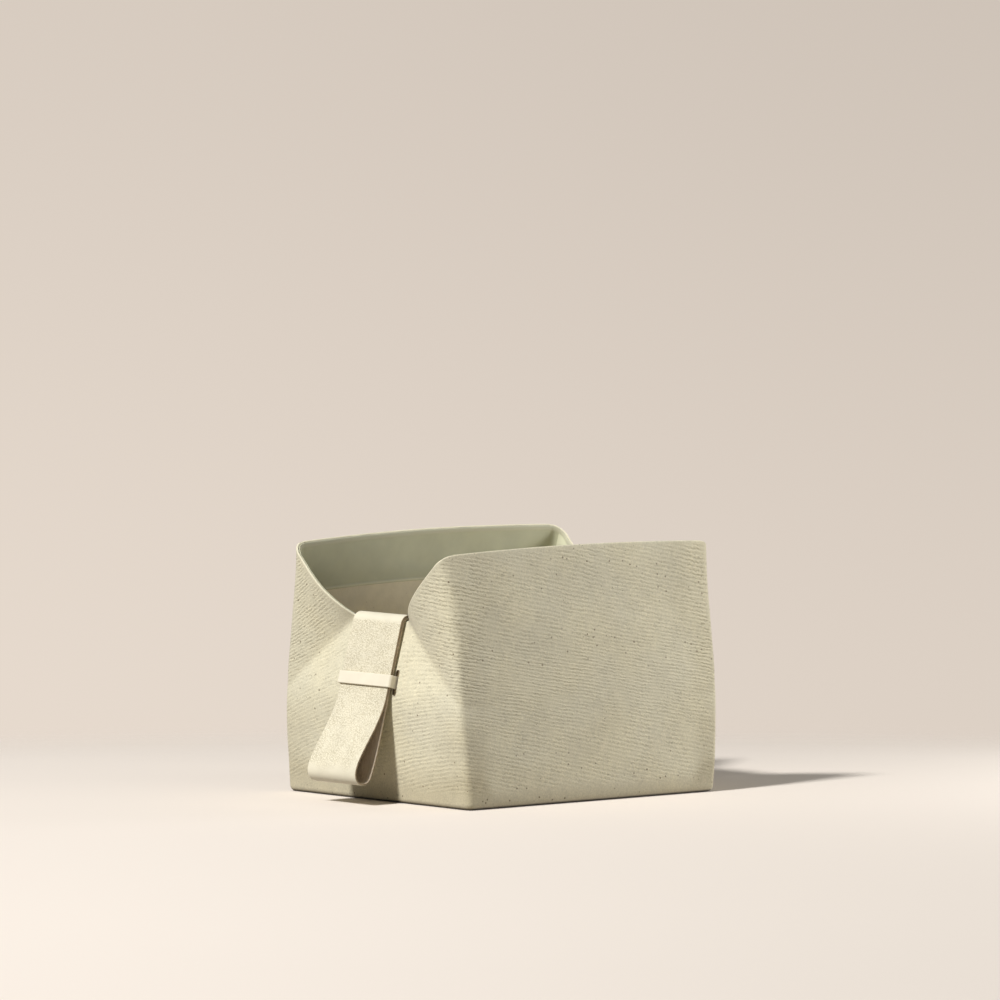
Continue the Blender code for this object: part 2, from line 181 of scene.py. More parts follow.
def quarter_point(q, z):
    """A quarter of the outline at height z: q runs from the end's middle to the side's middle."""
    radius = corner_radius(z)
    arc_x = half_width(z) - radius
    arc_y = end_wall_y(arc_x, z) - radius
    end_x = arc_x * np.minimum(q, QUARTER_END) / QUARTER_END
    angle = math.pi / 2 * np.clip((q - QUARTER_END) / QUARTER_ARC, 0.0, 1.0)
    share = np.minimum((1 - q) / QUARTER_SIDE, 1.0)
    bow = SIDE_BOW * (z / RIM_CORNER_Z) ** 2 * (1 - share ** 2)
    on_end = q <= QUARTER_END
    on_arc = q <= QUARTER_END + QUARTER_ARC
    x = np.where(on_end, end_x, np.where(on_arc, arc_x + radius * np.sin(angle), half_width(z) + bow))
    y = np.where(on_end, end_wall_y(end_x, z),
                 np.where(on_arc, arc_y + radius * np.cos(angle), arc_y * share))
    return x, y


def fold_perimeter(s):
    """Places on the perimeter as places on a quarter, with the signs of x and y."""
    s = np.mod(s, 4.0)
    half = np.mod(s, 2.0)
    q = np.where(half < 1, half, 2 - half)
    return q, np.where(s < 2, 1.0, -1.0), np.where((s >= 1) & (s < 3), 1.0, -1.0)


def rim_height(s):
    q = fold_perimeter(s)[0]
    share = (1 - q) / QUARTER_SIDE
    z = np.full_like(q, RIM_CORNER_Z)
    for _ in range(6):
        x = quarter_point(q, z)[0]
        z = RIM_DIP_Z + RIM_DIP_SLOPE * soft_ramp(x - RIM_DIP_HALF_X, RIM_DIP_SOFTNESS)
    # The extra height is full at the far left corner and dies out along both of its walls.
    turns = np.mod(s, 4.0)
    raised = smoothstep((turns - 2.2) / 0.25) * (1 - smoothstep((turns - 2.45) / 1.25) * 0.85)
    raised = raised * (turns < 3.8) * (1 - smoothstep((turns - 3.5) / 0.3))
    return np.where(share < 1, RIM_CORNER_Z + RIM_CROWN * (1 - share ** 2), z) + RIM_RISE * raised


def outline_point(s, z):
    q, x_sign, y_sign = fold_perimeter(s)
    x, y = quarter_point(q, z)
    return np.stack([x * x_sign, y * y_sign, z + 0 * x], axis=-1)


def unit(vectors):
    return vectors / np.linalg.norm(vectors, axis=-1, keepdims=True)


def wall_point(s, height):
    """Outer face of the wall: height above the base edge's round, or minus the arc length on it."""
    above = np.maximum(height, 0.0)
    place = outline_point(s, BASE_EDGE_RADIUS + above)
    angle = np.maximum(-height, 0.0) / BASE_EDGE_RADIUS
    step = 0.001
    edge_z = np.full_like(s, BASE_EDGE_RADIUS)
    along = outline_point(s + step, edge_z) - outline_point(s - step, edge_z)
    inward = unit(np.cross(np.array([0.0, 0.0, 1.0]), along))
    place = place + inward * (BASE_EDGE_RADIUS * (1 - np.cos(angle)))[..., None]
    place[..., 2] -= BASE_EDGE_RADIUS * np.sin(angle)
    return place


def wall_normal(s, height):
    """Direction out of the wall."""
    along = wall_point(s + 0.001, height) - wall_point(s - 0.001, height)
    up = wall_point(s, height + 0.1) - wall_point(s, height - 0.1)
    return unit(np.cross(along, up))


def hem_height(s):
    return np.maximum(rim_height(s) - FACING_DEPTH, HEM_LOWEST_Z)


# --- Mesh helpers

def noise_at(points, scale, seed):
    """Smooth noise between about -0.5 and 0.5 at each point in millimetres."""
    shift = Vector((seed * 13.7, seed * 7.3, seed * 3.1))
    flat = np.asarray(points, float).reshape(-1, 3) / scale
    values = [noise.noise(Vector(place) + shift) for place in flat]
    return np.array(values).reshape(np.asarray(points).shape[:-1])


def place_piece(piece, body, slot, *nodes):
    """Put a piece on its body and hide the frame's nodes that it replaces.

    slot is not used.
    """
    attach(piece, body)
    if nodes:
        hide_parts(*nodes)


def new_object(name, points, faces, materials=(), face_materials=None, sharp=55.0):
    """A smooth-shaded mesh object from points in millimetres."""
    mesh = bpy.data.meshes.new(name)
    mesh.from_pydata((np.asarray(points, float) * MM).tolist(), [], faces)
    mesh.update()
    obj = bpy.data.objects.new(name, mesh)
    bpy.context.scene.collection.objects.link(obj)
    for material in materials:
        mesh.materials.append(material)
    if face_materials is not None:
        mesh.polygons.foreach_set("material_index", np.asarray(face_materials, np.int32))
    mesh.polygons.foreach_set("use_smooth", np.ones(len(mesh.polygons), bool))
    mesh.set_sharp_from_angle(angle=math.radians(sharp))
    return obj


def add_values(obj, name, values):
    """Store one number for each point, which the material reads by name."""
    attribute = obj.data.attributes.new(name, "FLOAT", "POINT")
    attribute.data.foreach_set("value", np.asarray(values, np.float32).ravel())


def add_grids(obj, **grids):
    """Store a grid of numbers for a cloth's first points, by name, and zero for its other points."""
    for name, grid in grids.items():
        values = np.zeros(len(obj.data.vertices))
        values[:grid.size] = grid.ravel()
        add_values(obj, name, values)


def add_places(obj, name, places):
    """Store a place for each point, so that patterns stay put when the piece bends."""
    attribute = obj.data.attributes.new(name, "FLOAT_VECTOR", "POINT")
    attribute.data.foreach_set("vector", np.asarray(places, np.float32).ravel())


def zip_rows(fine, coarse):
    """Faces between a fine row of points and a coarse one that ends where it ends."""
    faces = []
    last = len(coarse) - 1
    marks = [round(i * (len(fine) - 1) / last) for i in range(last + 1)]
    for i in range(last):
        faces.append([*fine[marks[i]:marks[i + 1] + 1], coarse[i + 1], coarse[i]])
    return faces


def grid_faces(ids, flip=False):
    """Quads of a grid of point numbers, columns by rows."""
    a, b, c, d = ids[:-1, :-1], ids[1:, :-1], ids[1:, 1:], ids[:-1, 1:]
    quads = np.stack([a, d, c, b] if flip else [a, b, c, d], axis=-1)
    return quads.reshape(-1, 4).tolist()


def cloth_solid(name, outer, inner, materials, sharp=55.0):
    """A closed piece of cloth from a fine outer grid and a coarser inner one, columns by rows.

    Faces of the outer grid and the edges take the first material, the inner face the last.
    """
    fine = np.arange(outer.shape[0] * outer.shape[1]).reshape(outer.shape[:2])
    coarse = np.arange(inner.shape[0] * inner.shape[1]).reshape(inner.shape[:2]) + fine.size
    faces = grid_faces(fine)
    edge_start = len(faces)
    for edge in ((slice(None), 0), (slice(None), -1), (0, slice(None)), (-1, slice(None))):
        faces += zip_rows(fine[edge].tolist(), coarse[edge].tolist())
    inner_start = len(faces)
    faces += grid_faces(coarse, flip=True)
    kinds = np.zeros(len(faces), int)
    kinds[inner_start:] = len(materials) - 1
    points = np.concatenate([outer.reshape(-1, 3), inner.reshape(-1, 3)])
    return new_object(name, points, orient(faces, edge_start), materials, kinds, sharp)


def orient(faces, edge_start):
    """Turn the closing faces the same way round as the faces they meet."""
    directed = set()
    for face in faces[:edge_start]:
        directed.update(zip(face, face[1:] + face[:1]))
    turned = list(faces[:edge_start])
    for face in faces[edge_start:]:
        pairs = list(zip(face, face[1:] + face[:1]))
        turned.append(face[::-1] if any(pair in directed for pair in pairs) else face)
    return turned


def along_path(path):
    """Direction of an open path at each of its points."""
    before = np.concatenate([path[:1], path[:-1]])
    after = np.concatenate([path[1:], path[-1:]])
    return unit(after - before)


def sweep(name, path, section, material, up, closed=False):
    """Carry a closed section along a path: section points are (along up, out) in millimetres."""
    path = np.asarray(path, float)
    count = len(path)
    if closed:
        tangent = unit(np.roll(path, -1, axis=0) - np.roll(path, 1, axis=0))
    else:
        tangent = along_path(path)
    first = np.tile(np.asarray(up, float), (count, 1))
    first = unit(first - tangent * np.sum(first * tangent, axis=1, keepdims=True))
    second = np.cross(tangent, first)
    section = np.asarray(section, float)
    points = path[:, None] + section[None, :, :1] * first[:, None] + section[None, :, 1:] * second[:, None]
    size = len(section)
    faces = []
    for i in range(count if closed else count - 1):
        near, far = i * size, (i + 1) % count * size
        for k in range(size):
            j = (k + 1) % size
            faces.append((near + k, near + j, far + j, far + k))
    if not closed:
        faces.append(tuple(range(size))[::-1])
        faces.append(tuple(range((count - 1) * size, count * size)))
    return new_object(name, points.reshape(-1, 3), faces, [material])


def rounded_section(half_a, half_b, radius, arc_steps=3, flat_steps=1):
    """Closed outline of a band's section, with rounded corners."""
    points = []
    for index, (a_sign, b_sign) in enumerate(((1, 1), (-1, 1), (-1, -1), (1, -1))):
        centre = (a_sign * (half_a - radius), b_sign * (half_b - radius))
        for step in range(arc_steps + 1):
            angle = (index + step / arc_steps) * math.pi / 2
            points.append((centre[0] + radius * math.cos(angle), centre[1] + radius * math.sin(angle)))
        if index % 2 == 0 and flat_steps > 1:
            span = 2 * (half_a - radius)
            start = points[-1]
            for step in range(1, flat_steps):
                points.append((start[0] - a_sign * span * step / flat_steps, start[1]))
    return points


# --- Material helpers

def add_node(tree, kind, inputs=None, **settings):
    """Add a node; each input is a plain value or another node's output."""
    made = tree.nodes.new(kind)
    for key, value in settings.items():
        setattr(made, key, value)
    for key, value in (inputs or {}).items():
        if isinstance(value, bpy.types.NodeSocket):
            tree.links.new(value, made.inputs[key])
        else:
            made.inputs[key].default_value = value
    return made


def compute(tree, operation, a, b=0.0, c=0.0):
    return add_node(tree, "ShaderNodeMath", {0: a, 1: b, 2: c}, operation=operation).outputs[0]


def remap(tree, value, low, high, to_low=0.0, to_high=1.0):
    inputs = {"Value": value, "From Min": low, "From Max": high, "To Min": to_low, "To Max": to_high}
    return add_node(tree, "ShaderNodeMapRange", inputs, interpolation_type="SMOOTHSTEP").outputs[0]


def blend_colour(tree, factor, a, b, mode="MIX"):
    """Mix two colours, each three numbers or an output."""
    values = [(*value, 1.0) if isinstance(value, tuple) else value for value in (a, b)]
    made = add_node(tree, "ShaderNodeMix", {0: factor, 6: values[0], 7: values[1]}, data_type="RGBA",
                    blend_type=mode)
    return made.outputs[2]


def stored(tree, name, output="Fac"):
    return add_node(tree, "ShaderNodeAttribute", attribute_name=name).outputs[output]


def stretched(tree, places, scale):
    """Places squeezed or stretched along their axes, for patterns that run one way."""
    return add_node(tree, "ShaderNodeMapping", {"Vector": places, "Scale": scale}).outputs[0]


def object_places(tree, scale=(1.0, 1.0, 1.0)):
    """Places on the piece in metres."""
    return stretched(tree, add_node(tree, "ShaderNodeTexCoord").outputs["Object"], scale)


def noise_pattern(tree, places, size, detail=2.0, roughness=0.5):
    """Noise between 0 and 1 whose features are about size millimetres."""
    inputs = {"Vector": places, "Scale": 1000.0 / size, "Detail": detail, "Roughness": roughness}
    return add_node(tree, "ShaderNodeTexNoise", inputs).outputs["Fac"]


def specks(tree, places, spacing, radius):
    """Round specks of random strength: 1 is a full speck."""
    cells = add_node(tree, "ShaderNodeTexVoronoi", {"Vector": places, "Scale": 1000.0 / spacing})
    strength = add_node(tree, "ShaderNodeSeparateColor", {"Color": cells.outputs["Color"]}).outputs[0]
    dot = remap(tree, cells.outputs["Distance"], radius / spacing, 0.4 * radius / spacing)
    return compute(tree, "MULTIPLY", dot, remap(tree, strength, 0.45, 0.8))


def new_material(name, roughness, sheen=0.0, specular=0.3):
    material = bpy.data.materials.new(name)
    material.use_nodes = True
    shader = material.node_tree.nodes["Principled BSDF"]
    shader.inputs["Roughness"].default_value = roughness
    shader.inputs["Specular IOR Level"].default_value = specular
    shader.inputs["Sheen Weight"].default_value = sheen
    shader.inputs["Sheen Roughness"].default_value = 0.6
    return material, material.node_tree, shader


def finish_material(tree, shader, colour, height=None, distance=0.2, strength=0.6):
    """Link the colour, and a bump whose height of 1 is distance millimetres."""
    tree.links.new(colour, shader.inputs["Base Color"])
    if height is not None:
        bump = add_node(tree, "ShaderNodeBump", {"Height": height, "Distance": distance * MM,
                                                 "Strength": strength})
        tree.links.new(bump.outputs[0], shader.inputs["Normal"])


def scaled(colour, factor):
    return tuple(channel * factor for channel in colour)


# --- Materials

CANVAS_COLOUR = (0.69, 0.64, 0.475)
FACING_COLOUR = (0.475, 0.468, 0.305)
STRAP_COLOUR = (0.745, 0.69, 0.535)
KEEPER_COLOUR = (0.80, 0.735, 0.585)
LEATHER_CORE = (0.30, 0.235, 0.15)
THREAD_COLOUR = (0.78, 0.70, 0.55)


def mottled(tree, colour, places):
    """Cloth colour with broad yellowish and greyish patches, and finer unevenness."""
    broad = remap(tree, noise_pattern(tree, places, 42, 3), 0.35, 0.65)
    patch = blend_colour(tree, broad, scaled(colour, 0.98), (colour[0] * 1.01, colour[1], colour[2] * 0.97))
    return unevenly(tree, patch, noise_pattern(tree, places, 7, 4, 0.6), 0.955, 1.03)


def shade_of(tree, value):
    """A grey colour from a number."""
    return add_node(tree, "ShaderNodeCombineColor", {0: value, 1: value, 2: value}).outputs[0]


def unevenly(tree, colour, pattern, low, high):
    """The colour times a grey that runs from low to high with a pattern."""
    shade = shade_of(tree, remap(tree, pattern, 0.3, 0.7, low, high))
    return blend_colour(tree, 1.0, colour, shade, "MULTIPLY")


def tinted(tree, colour, amount, tint):
    """Mix a colour towards a tinted version of itself."""
    return blend_colour(tree, amount, colour, blend_colour(tree, 1.0, colour, tint, "MULTIPLY"))


def weave_height(tree, places):
    """Fine plain weave: threads of about half a millimetre both ways."""
    across = noise_pattern(tree, stretched(tree, places, (1, 1, 3.5)), 1.7, 2)
    upright = noise_pattern(tree, stretched(tree, places, (3, 3, 0.9)), 1.7, 2)
    return compute(tree, "ADD", across, upright)


def make_ribbed_canvas():
    """Natural canvas with soft broken ribs, which fade out near the base edge, and dark flecks."""
    material, tree, shader = new_material("canvas_ribbed", 0.92, sheen=0.15)
    places = object_places(tree)
    dashes = noise_pattern(tree, object_places(tree, (1.0, 1.0, 2.2)), 3.4, 2)
    patches = noise_pattern(tree, places, 12.0, 1)
    wander = remap(tree, noise_pattern(tree, places, 2.0, 2), 0.25, 0.75, -0.2, 0.2)
    phase = compute(tree, "ADD", stored(tree, "rib_phase"), wander)
    wave = compute(tree, "SINE", compute(tree, "MULTIPLY", phase, 2 * math.pi))
    broken = compute(tree, "MULTIPLY", remap(tree, dashes, 0.34, 0.60, 0.15, 1.0),
                     remap(tree, patches, 0.36, 0.54, 0.4, 1.0))
    strength = compute(tree, "MULTIPLY", stored(tree, "rib_strength"), broken)
    rib = compute(tree, "MULTIPLY", wave, strength)
    colour = mottled(tree, CANVAS_COLOUR, places)
    # Painted shade in the rib grooves and a painted highlight on the ridges.
    colour = tinted(tree, colour, remap(tree, rib, -0.1, -1.1), (0.76, 0.745, 0.71))
    colour = tinted(tree, colour, remap(tree, rib, 0.1, 1.1), (1.08, 1.08, 1.07))
    colour = unevenly(tree, colour, noise_pattern(tree, places, 1.0, 3, 0.7), 0.89, 1.10)
    # Painted shade: darker along the base edge, at the corners, on the ears and in the creases.
    colour = tinted(tree, colour, stored(tree, "soil"), (0.76, 0.735, 0.69))
    # Painted contact shadow: nearly black along the very bottom edge.
    colour = tinted(tree, colour, stored(tree, "underside"), (0.16, 0.14, 0.13))
    for spacing, radius in ((5.4, 0.85), (3.3, 0.42)):
        colour = tinted(tree, colour, specks(tree, places, spacing, radius), (0.32, 0.27, 0.23))
    # Painted highlight: a paler cream on the rim.
    colour = blend_colour(tree, stored(tree, "rim"), colour, scaled(CANVAS_COLOUR, 1.14))
    weave = weave_height(tree, places)
    height = compute(tree, "MULTIPLY_ADD", rib, 0.9, compute(tree, "MULTIPLY", weave, 0.55))
    finish_material(tree, shader, colour, height, distance=0.14, strength=0.7)
    return material


def make_plain_canvas():
    """The canvas's smooth inner face."""
    material, tree, shader = new_material("canvas_inner", 0.92, sheen=0.1)
    places = object_places(tree)
    colour = mottled(tree, (CANVAS_COLOUR[0], CANVAS_COLOUR[1] * 0.975, CANVAS_COLOUR[2]), places)
    flecks = compute(tree, "MULTIPLY", specks(tree, places, 5.4, 0.5), 0.8)
    colour = tinted(tree, colour, flecks, (0.5, 0.43, 0.36))
    finish_material(tree, shader, colour, weave_height(tree, places), distance=0.1)
    return material


def make_facing_cloth():
    """Smooth sage cloth, with painted shade darker towards its hem, a paler turned strip and a hem bead that
    is paler still with a painted highlight.

    pale is 1 on the back facing, which is painted paler as if sunlit.
    """
    material, tree, shader = new_material("sage_cloth", 0.62, sheen=0.25, specular=0.4)
    places = object_places(tree)
    # Painted shade: the facing darkens deeper in the bin, towards its hem.
    depth = remap(tree, stored(tree, "drop"), 4.0, 33.0)
    colour = blend_colour(tree, depth, scaled(FACING_COLOUR, 1.06), scaled(FACING_COLOUR, 0.90))
    colour = unevenly(tree, colour, noise_pattern(tree, places, 16, 3), 0.95, 1.05)
    paler = (FACING_COLOUR[0] * 1.16, FACING_COLOUR[1] * 1.13, FACING_COLOUR[2] * 1.22)
    # Painted sunlight: the back facing is paler, as if lit by the key light.
    colour = tinted(tree, colour, stored(tree, "pale"), (1.40, 1.40, 1.50))
    colour = blend_colour(tree, stored(tree, "strip"), colour, paler)
    # The hem bead takes the turned strip's paler tone, a little paler still as a painted highlight.
    colour = blend_colour(tree, stored(tree, "bead"), colour, scaled(paler, 1.05))
    height = compute(tree, "MULTIPLY", weave_height(tree, places), 0.5)
    finish_material(tree, shader, colour, height, distance=0.09, strength=0.5)
    return material


def make_tape():
    """Twill tape: fine slanting lines."""
    material, tree, shader = new_material("twill_tape", 0.9, sheen=0.1)
    places = object_places(tree)
    turned = add_node(tree, "ShaderNodeMapping", {"Vector": places, "Rotation": (0.6, 0.6, 0.0)}).outputs[0]
    lines = add_node(tree, "ShaderNodeTexWave", {"Vector": turned, "Scale": 330.0, "Distortion": 1.2},
                     bands_direction="Z").outputs["Fac"]
    base = scaled(CANVAS_COLOUR, 0.93)
    colour = blend_colour(tree, lines, scaled(base, 0.93), base)
    colour = unevenly(tree, colour, noise_pattern(tree, places, 9, 3), 0.94, 1.05)
    finish_material(tree, shader, colour, lines, distance=0.12)
    return material


def make_board():
    """Grey-brown pressed fibre board, with long pale fibres."""
    material, tree, shader = new_material("fibre_board", 0.85)
    places = object_places(tree)
    fibres = noise_pattern(tree, object_places(tree, (0.25, 1.3, 1.0)), 1.2, 4, 0.7)
    colour = blend_colour(tree, remap(tree, fibres, 0.35, 0.7), (0.40, 0.33, 0.23), (0.58, 0.50, 0.37))
    colour = unevenly(tree, colour, noise_pattern(tree, places, 20, 2), 0.93, 1.04)
    finish_material(tree, shader, colour, fibres, distance=0.12)
    return material


def make_leather(name, base, pebble, pebble_depth, roughness):
    """Pale leather: grained face, tan cut edges and a fibrous inner face.

    skin holds places along and across the strip, smooth, cut_edge and flesh are 0 to 1.
    """
    material, tree, shader = new_material(name, roughness, specular=0.35)
    skin = stored(tree, "skin", "Vector")
    cell_inputs = {"Vector": skin, "Scale": 1000.0 / pebble, "Smoothness": 0.6}
    cells = add_node(tree, "ShaderNodeTexVoronoi", cell_inputs, feature="SMOOTH_F1").outputs["Distance"]
    dome = remap(tree, cells, 0.75, 0.15)
    rough_share = remap(tree, compute(tree, "ADD", noise_pattern(tree, skin, 9, 2), stored(tree, "smooth")),
                        0.3, 1.1, 1.0, 0.0)
    grain = compute(tree, "MULTIPLY", dome, rough_share)
    colour = blend_colour(tree, dome, (base[0] * 0.77, base[1] * 0.745, base[2] * 0.68), scaled(base, 1.13))
    colour = blend_colour(tree, rough_share, scaled(base, 1.02), colour)
    colour = unevenly(tree, colour, noise_pattern(tree, skin, 14, 3), 0.96, 1.03)
    strands = noise_pattern(tree, stretched(tree, skin, (1.0, 0.14, 1.0)), 1.6, 3, 0.65)
    inner = blend_colour(tree, remap(tree, strands, 0.3, 0.7), (0.60, 0.50, 0.37), (0.72, 0.62, 0.48))
    colour = blend_colour(tree, stored(tree, "flesh"), colour, inner)
    core = blend_colour(tree, remap(tree, noise_pattern(tree, skin, 2.2, 3), 0.35, 0.7), LEATHER_CORE,
                        scaled(LEATHER_CORE, 1.5))
    colour = blend_colour(tree, stored(tree, "cut_edge"), colour, core)
    height = compute(tree, "MULTIPLY_ADD", noise_pattern(tree, skin, 0.5, 2), 0.25, grain)
    finish_material(tree, shader, colour, height, distance=pebble_depth, strength=0.8)
    return material


def make_thread():
    """Twisted thread: fine slanting plies."""
    material, tree, shader = new_material("waxed_thread", 0.6, specular=0.4)
    mapping = {"Vector": object_places(tree), "Rotation": (0.5, 0.7, 0.4)}
    turned = add_node(tree, "ShaderNodeMapping", mapping).outputs[0]
    plies = add_node(tree, "ShaderNodeTexWave", {"Vector": turned, "Scale": 700.0}).outputs["Fac"]
    colour = blend_colour(tree, plies, scaled(THREAD_COLOUR, 0.8), THREAD_COLOUR)
    finish_material(tree, shader, colour, plies, distance=0.08)
    return material


def make_slot_leather():
    """Brown leather that lines the keeper's slots, its tone deepened as painted shade inside them."""
    material, tree, shader = new_material("slot_leather", 0.7)
    spots = noise_pattern(tree, object_places(tree), 1.4, 3)
    # Dark brown: the leather's own brown deepened as painted shade in the slots.
    colour = blend_colour(tree, remap(tree, spots, 0.3, 0.7), (0.15, 0.105, 0.065), (0.26, 0.19, 0.125))
    finish_material(tree, shader, colour, spots, distance=0.08)
    return material


# --- Cloth of the wall

WORDS = ("front", "right", "back", "left")
CORNERS = ("front_right", "back_right", "back_left", "front_left")
ROLL_ARC = BASE_EDGE_RADIUS * math.pi / 2
OUTER_ROW_STEP = 0.52
OUTER_COLUMN_STEP = 1.15
DENT_SIZE = 36.0
DENT_DEPTH = 0.9
DENT_FREE_X = 30.0          # the cloth is held flat by the strap this far from the middle of an end


def dents(places):
    """Soft unevenness of the cloth, none at the base edge, the rim's edge or under the strap."""
    x, y, z = places[..., 0], places[..., 1], places[..., 2]
    on_end = smoothstep((np.abs(y) - 90.0) / 8.0)
    held = 1 - on_end * (1 - smoothstep((np.abs(x) - DENT_FREE_X) / 14.0))
    fade = smoothstep((z - 6.0) / 22.0) * held
    return DENT_DEPTH * fade * noise_at(places, DENT_SIZE, 1)


def cloth_point(s, height, depth):
    """A place in the wall's cloth, at a depth behind its outer face."""
    place = wall_point(s, height)
    return place + wall_normal(s, height) * (dents(place) - depth)[..., None]


def rib_phase(s, places):
    """Turns of the rib pattern: ribs slant up to the right on the ends, and down along the sides."""
    base = outline_point(np.mod(s + 0.5, 2.0) - 0.5, np.full_like(s, BASE_EDGE_RADIUS))
    x, y = base[..., 0], base[..., 1]
    z = places[..., 2]
    slant = -0.22 * x + 0.001 * x ** 2 + 0.225 * (y + BASE_HALF_Y)
    ear = 0.18 * (np.abs(x) - 60.0) * smoothstep((z - 65.0) / 45.0)
    low = -0.08 * np.clip(x - 20.0, 0.0, 55.0) * (1 - smoothstep((z - 40.0) / 45.0))
    wobble = 0.9 * noise_at(places, 24.0, 2) + 0.3 * noise_at(places, 7.0, 3)
    return (z + slant + ear + low + wobble) / RIB_PITCH


def end_zones(places):
    """Distance across and height, then 0 to 1 on an end wall, height above its crease, 0 to 1 on its ears."""
    x, z = np.abs(places[..., 0]), places[..., 2]
    on_end = smoothstep((np.abs(places[..., 1]) - 80.0) / 15.0)
    above_crease = z - CREASE_TOP_Z + CREASE_SLOPE * (x - CREASE_TOP_X)
    ear = on_end * smoothstep(above_crease / 10.0) * smoothstep((x - 38.0) / 16.0)
    return x, z, on_end, above_crease, ear


def rib_strength(places):
    """Ribs are strongest on the ears, and fade near the base edge and beside the strap."""
    x, z, on_end, _, ear = end_zones(places)
    strength = 0.75 + 0.55 * ear
    strength *= 1 - on_end * 0.75 * (1 - smoothstep((x - 30.0) / 14.0)) * smoothstep((z - 96.0) / 12.0)
    return strength * smoothstep((z - RIB_FREE_EDGE) / 6.0)


def soil(places):
    """Painted shade along the base edge, at the corners, on the ears and in the creases of the ends: 0 to 1.
    """
    x, z, on_end, above_crease, ear = end_zones(places)
    band = np.exp(-((above_crease - 1.0) / 3.2) ** 2) * on_end * (x > CREASE_TOP_X)
    base = 1 - smoothstep((z - 2.0) / (13.0 + 17.0 * on_end))
    low_corner = on_end * smoothstep((x - 46.0) / 40.0) * (1 - smoothstep((z - 38.0) / 28.0))
    near_end = smoothstep((np.abs(places[..., 1]) - 50.0) / 40.0)
    top_corner = (1 - on_end) * near_end * smoothstep((z - 80.0) / 50.0)
    return np.clip(0.35 * band + base + 0.55 * low_corner + 0.25 * ear + 0.45 * top_corner, 0.0, 1.0)


def outer_rows(s, step):
    """Heights of a panel's rows, from the turned base edge up to where the rim's round starts."""
    top = rim_height(s) - BASE_EDGE_RADIUS - CANVAS / 2
    rolled = np.linspace(-ROLL_ARC, 0.0, max(int(ROLL_ARC / step), 4) + 1)[:-1]
    count = int((RIM_CORNER_Z - BASE_EDGE_RADIUS) / step)
    share = np.linspace(0.0, 1.0, count + 1)
    return np.concatenate([np.tile(rolled, (len(s), 1)), top[:, None] * share], axis=1)


def rim_round(s, count=5):
    """Rows over the rim's rounded edge, from the outer face to the inner one."""
    height = rim_height(s) - BASE_EDGE_RADIUS - CANVAS / 2
    place = wall_point(s, height)
    normal = wall_normal(s, height)
    centre = place + normal * (dents(place) - CANVAS / 2)[:, None]
    up = unit(wall_point(s, height + 0.1) - wall_point(s, height - 0.1))
    rows = []
    for k in range(1, count + 1):
        angle = math.pi * k / count
        rows.append(centre + CANVAS / 2 * (normal * math.cos(angle) + up * math.sin(angle)))
    return np.stack(rows, axis=1)


def make_panel(index, ribbed, plain, slot_leather):
    """One canvas wall panel, with ribs raised on its outer face and a rounded rim."""
    word = WORDS[index]
    width = 190.0 if index % 2 == 0 else 196.0
    s = np.linspace(index - 0.5, index + 0.5, int(width / OUTER_COLUMN_STEP) + 1)
    heights = outer_rows(s, OUTER_ROW_STEP)
    across = np.tile(s[:, None], (1, heights.shape[1]))
    flat = cloth_point(across, heights, 0.0)
    phase = rib_phase(across, flat)
    strength = rib_strength(flat)
    fade = smoothstep((rim_height(s)[:, None] - flat[..., 2] - 1.0) / 3.0)
    dashes = 0.75 + 0.9 * noise_at(flat * np.array([0.4, 0.4, 1.0]), 4.0, 4)
    relief = RIB_RELIEF * np.sin(2 * math.pi * phase) * strength * fade * dashes
    outer = flat + wall_normal(across, heights) * relief[..., None]
    rim = rim_round(s)
    outer = np.concatenate([outer, rim], axis=1)
    coarse_s = np.linspace(s[0], s[-1], (len(s) - 1) // 4 + 1)
    low_rows = outer_rows(coarse_s, 2.0)
    inner = cloth_point(np.tile(coarse_s[:, None], (1, low_rows.shape[1])), low_rows, CANVAS)
    panel = cloth_solid(f"{word}_canvas", outer, inner, [ribbed, plain])
    rim_rows = rim.shape[1]
    pad = ((0, 0), (0, rim_rows))
    # Painted highlight over the rim's round, spreading a little onto the outer face just below it.
    near_rim = 0.4 * (1 - smoothstep((rim_height(s)[:, None] - flat[..., 2] - 0.3) / 1.2))
    rim_highlight = RIM_HIGHLIGHT[index] * np.concatenate([near_rim, np.ones((len(s), rim_rows))], axis=1)
    # Painted contact shadow along the lowest two millimetres of the turned base edge.
    underside = 1 - smoothstep((flat[..., 2] - 0.4) / 1.6)
    add_grids(panel, rib_phase=np.pad(phase, pad, mode="edge"), rib_strength=np.pad(strength * fade, pad),
              soil=np.pad(soil(flat), pad), underside=np.pad(underside, pad), rim=rim_highlight)
    if index % 2 == 0:
        panel.data.materials.append(slot_leather)
        cut_slots(panel, index - 1)
    place_piece(panel, "bin", "canvas", f"canvas_panel_{word}")
    return panel


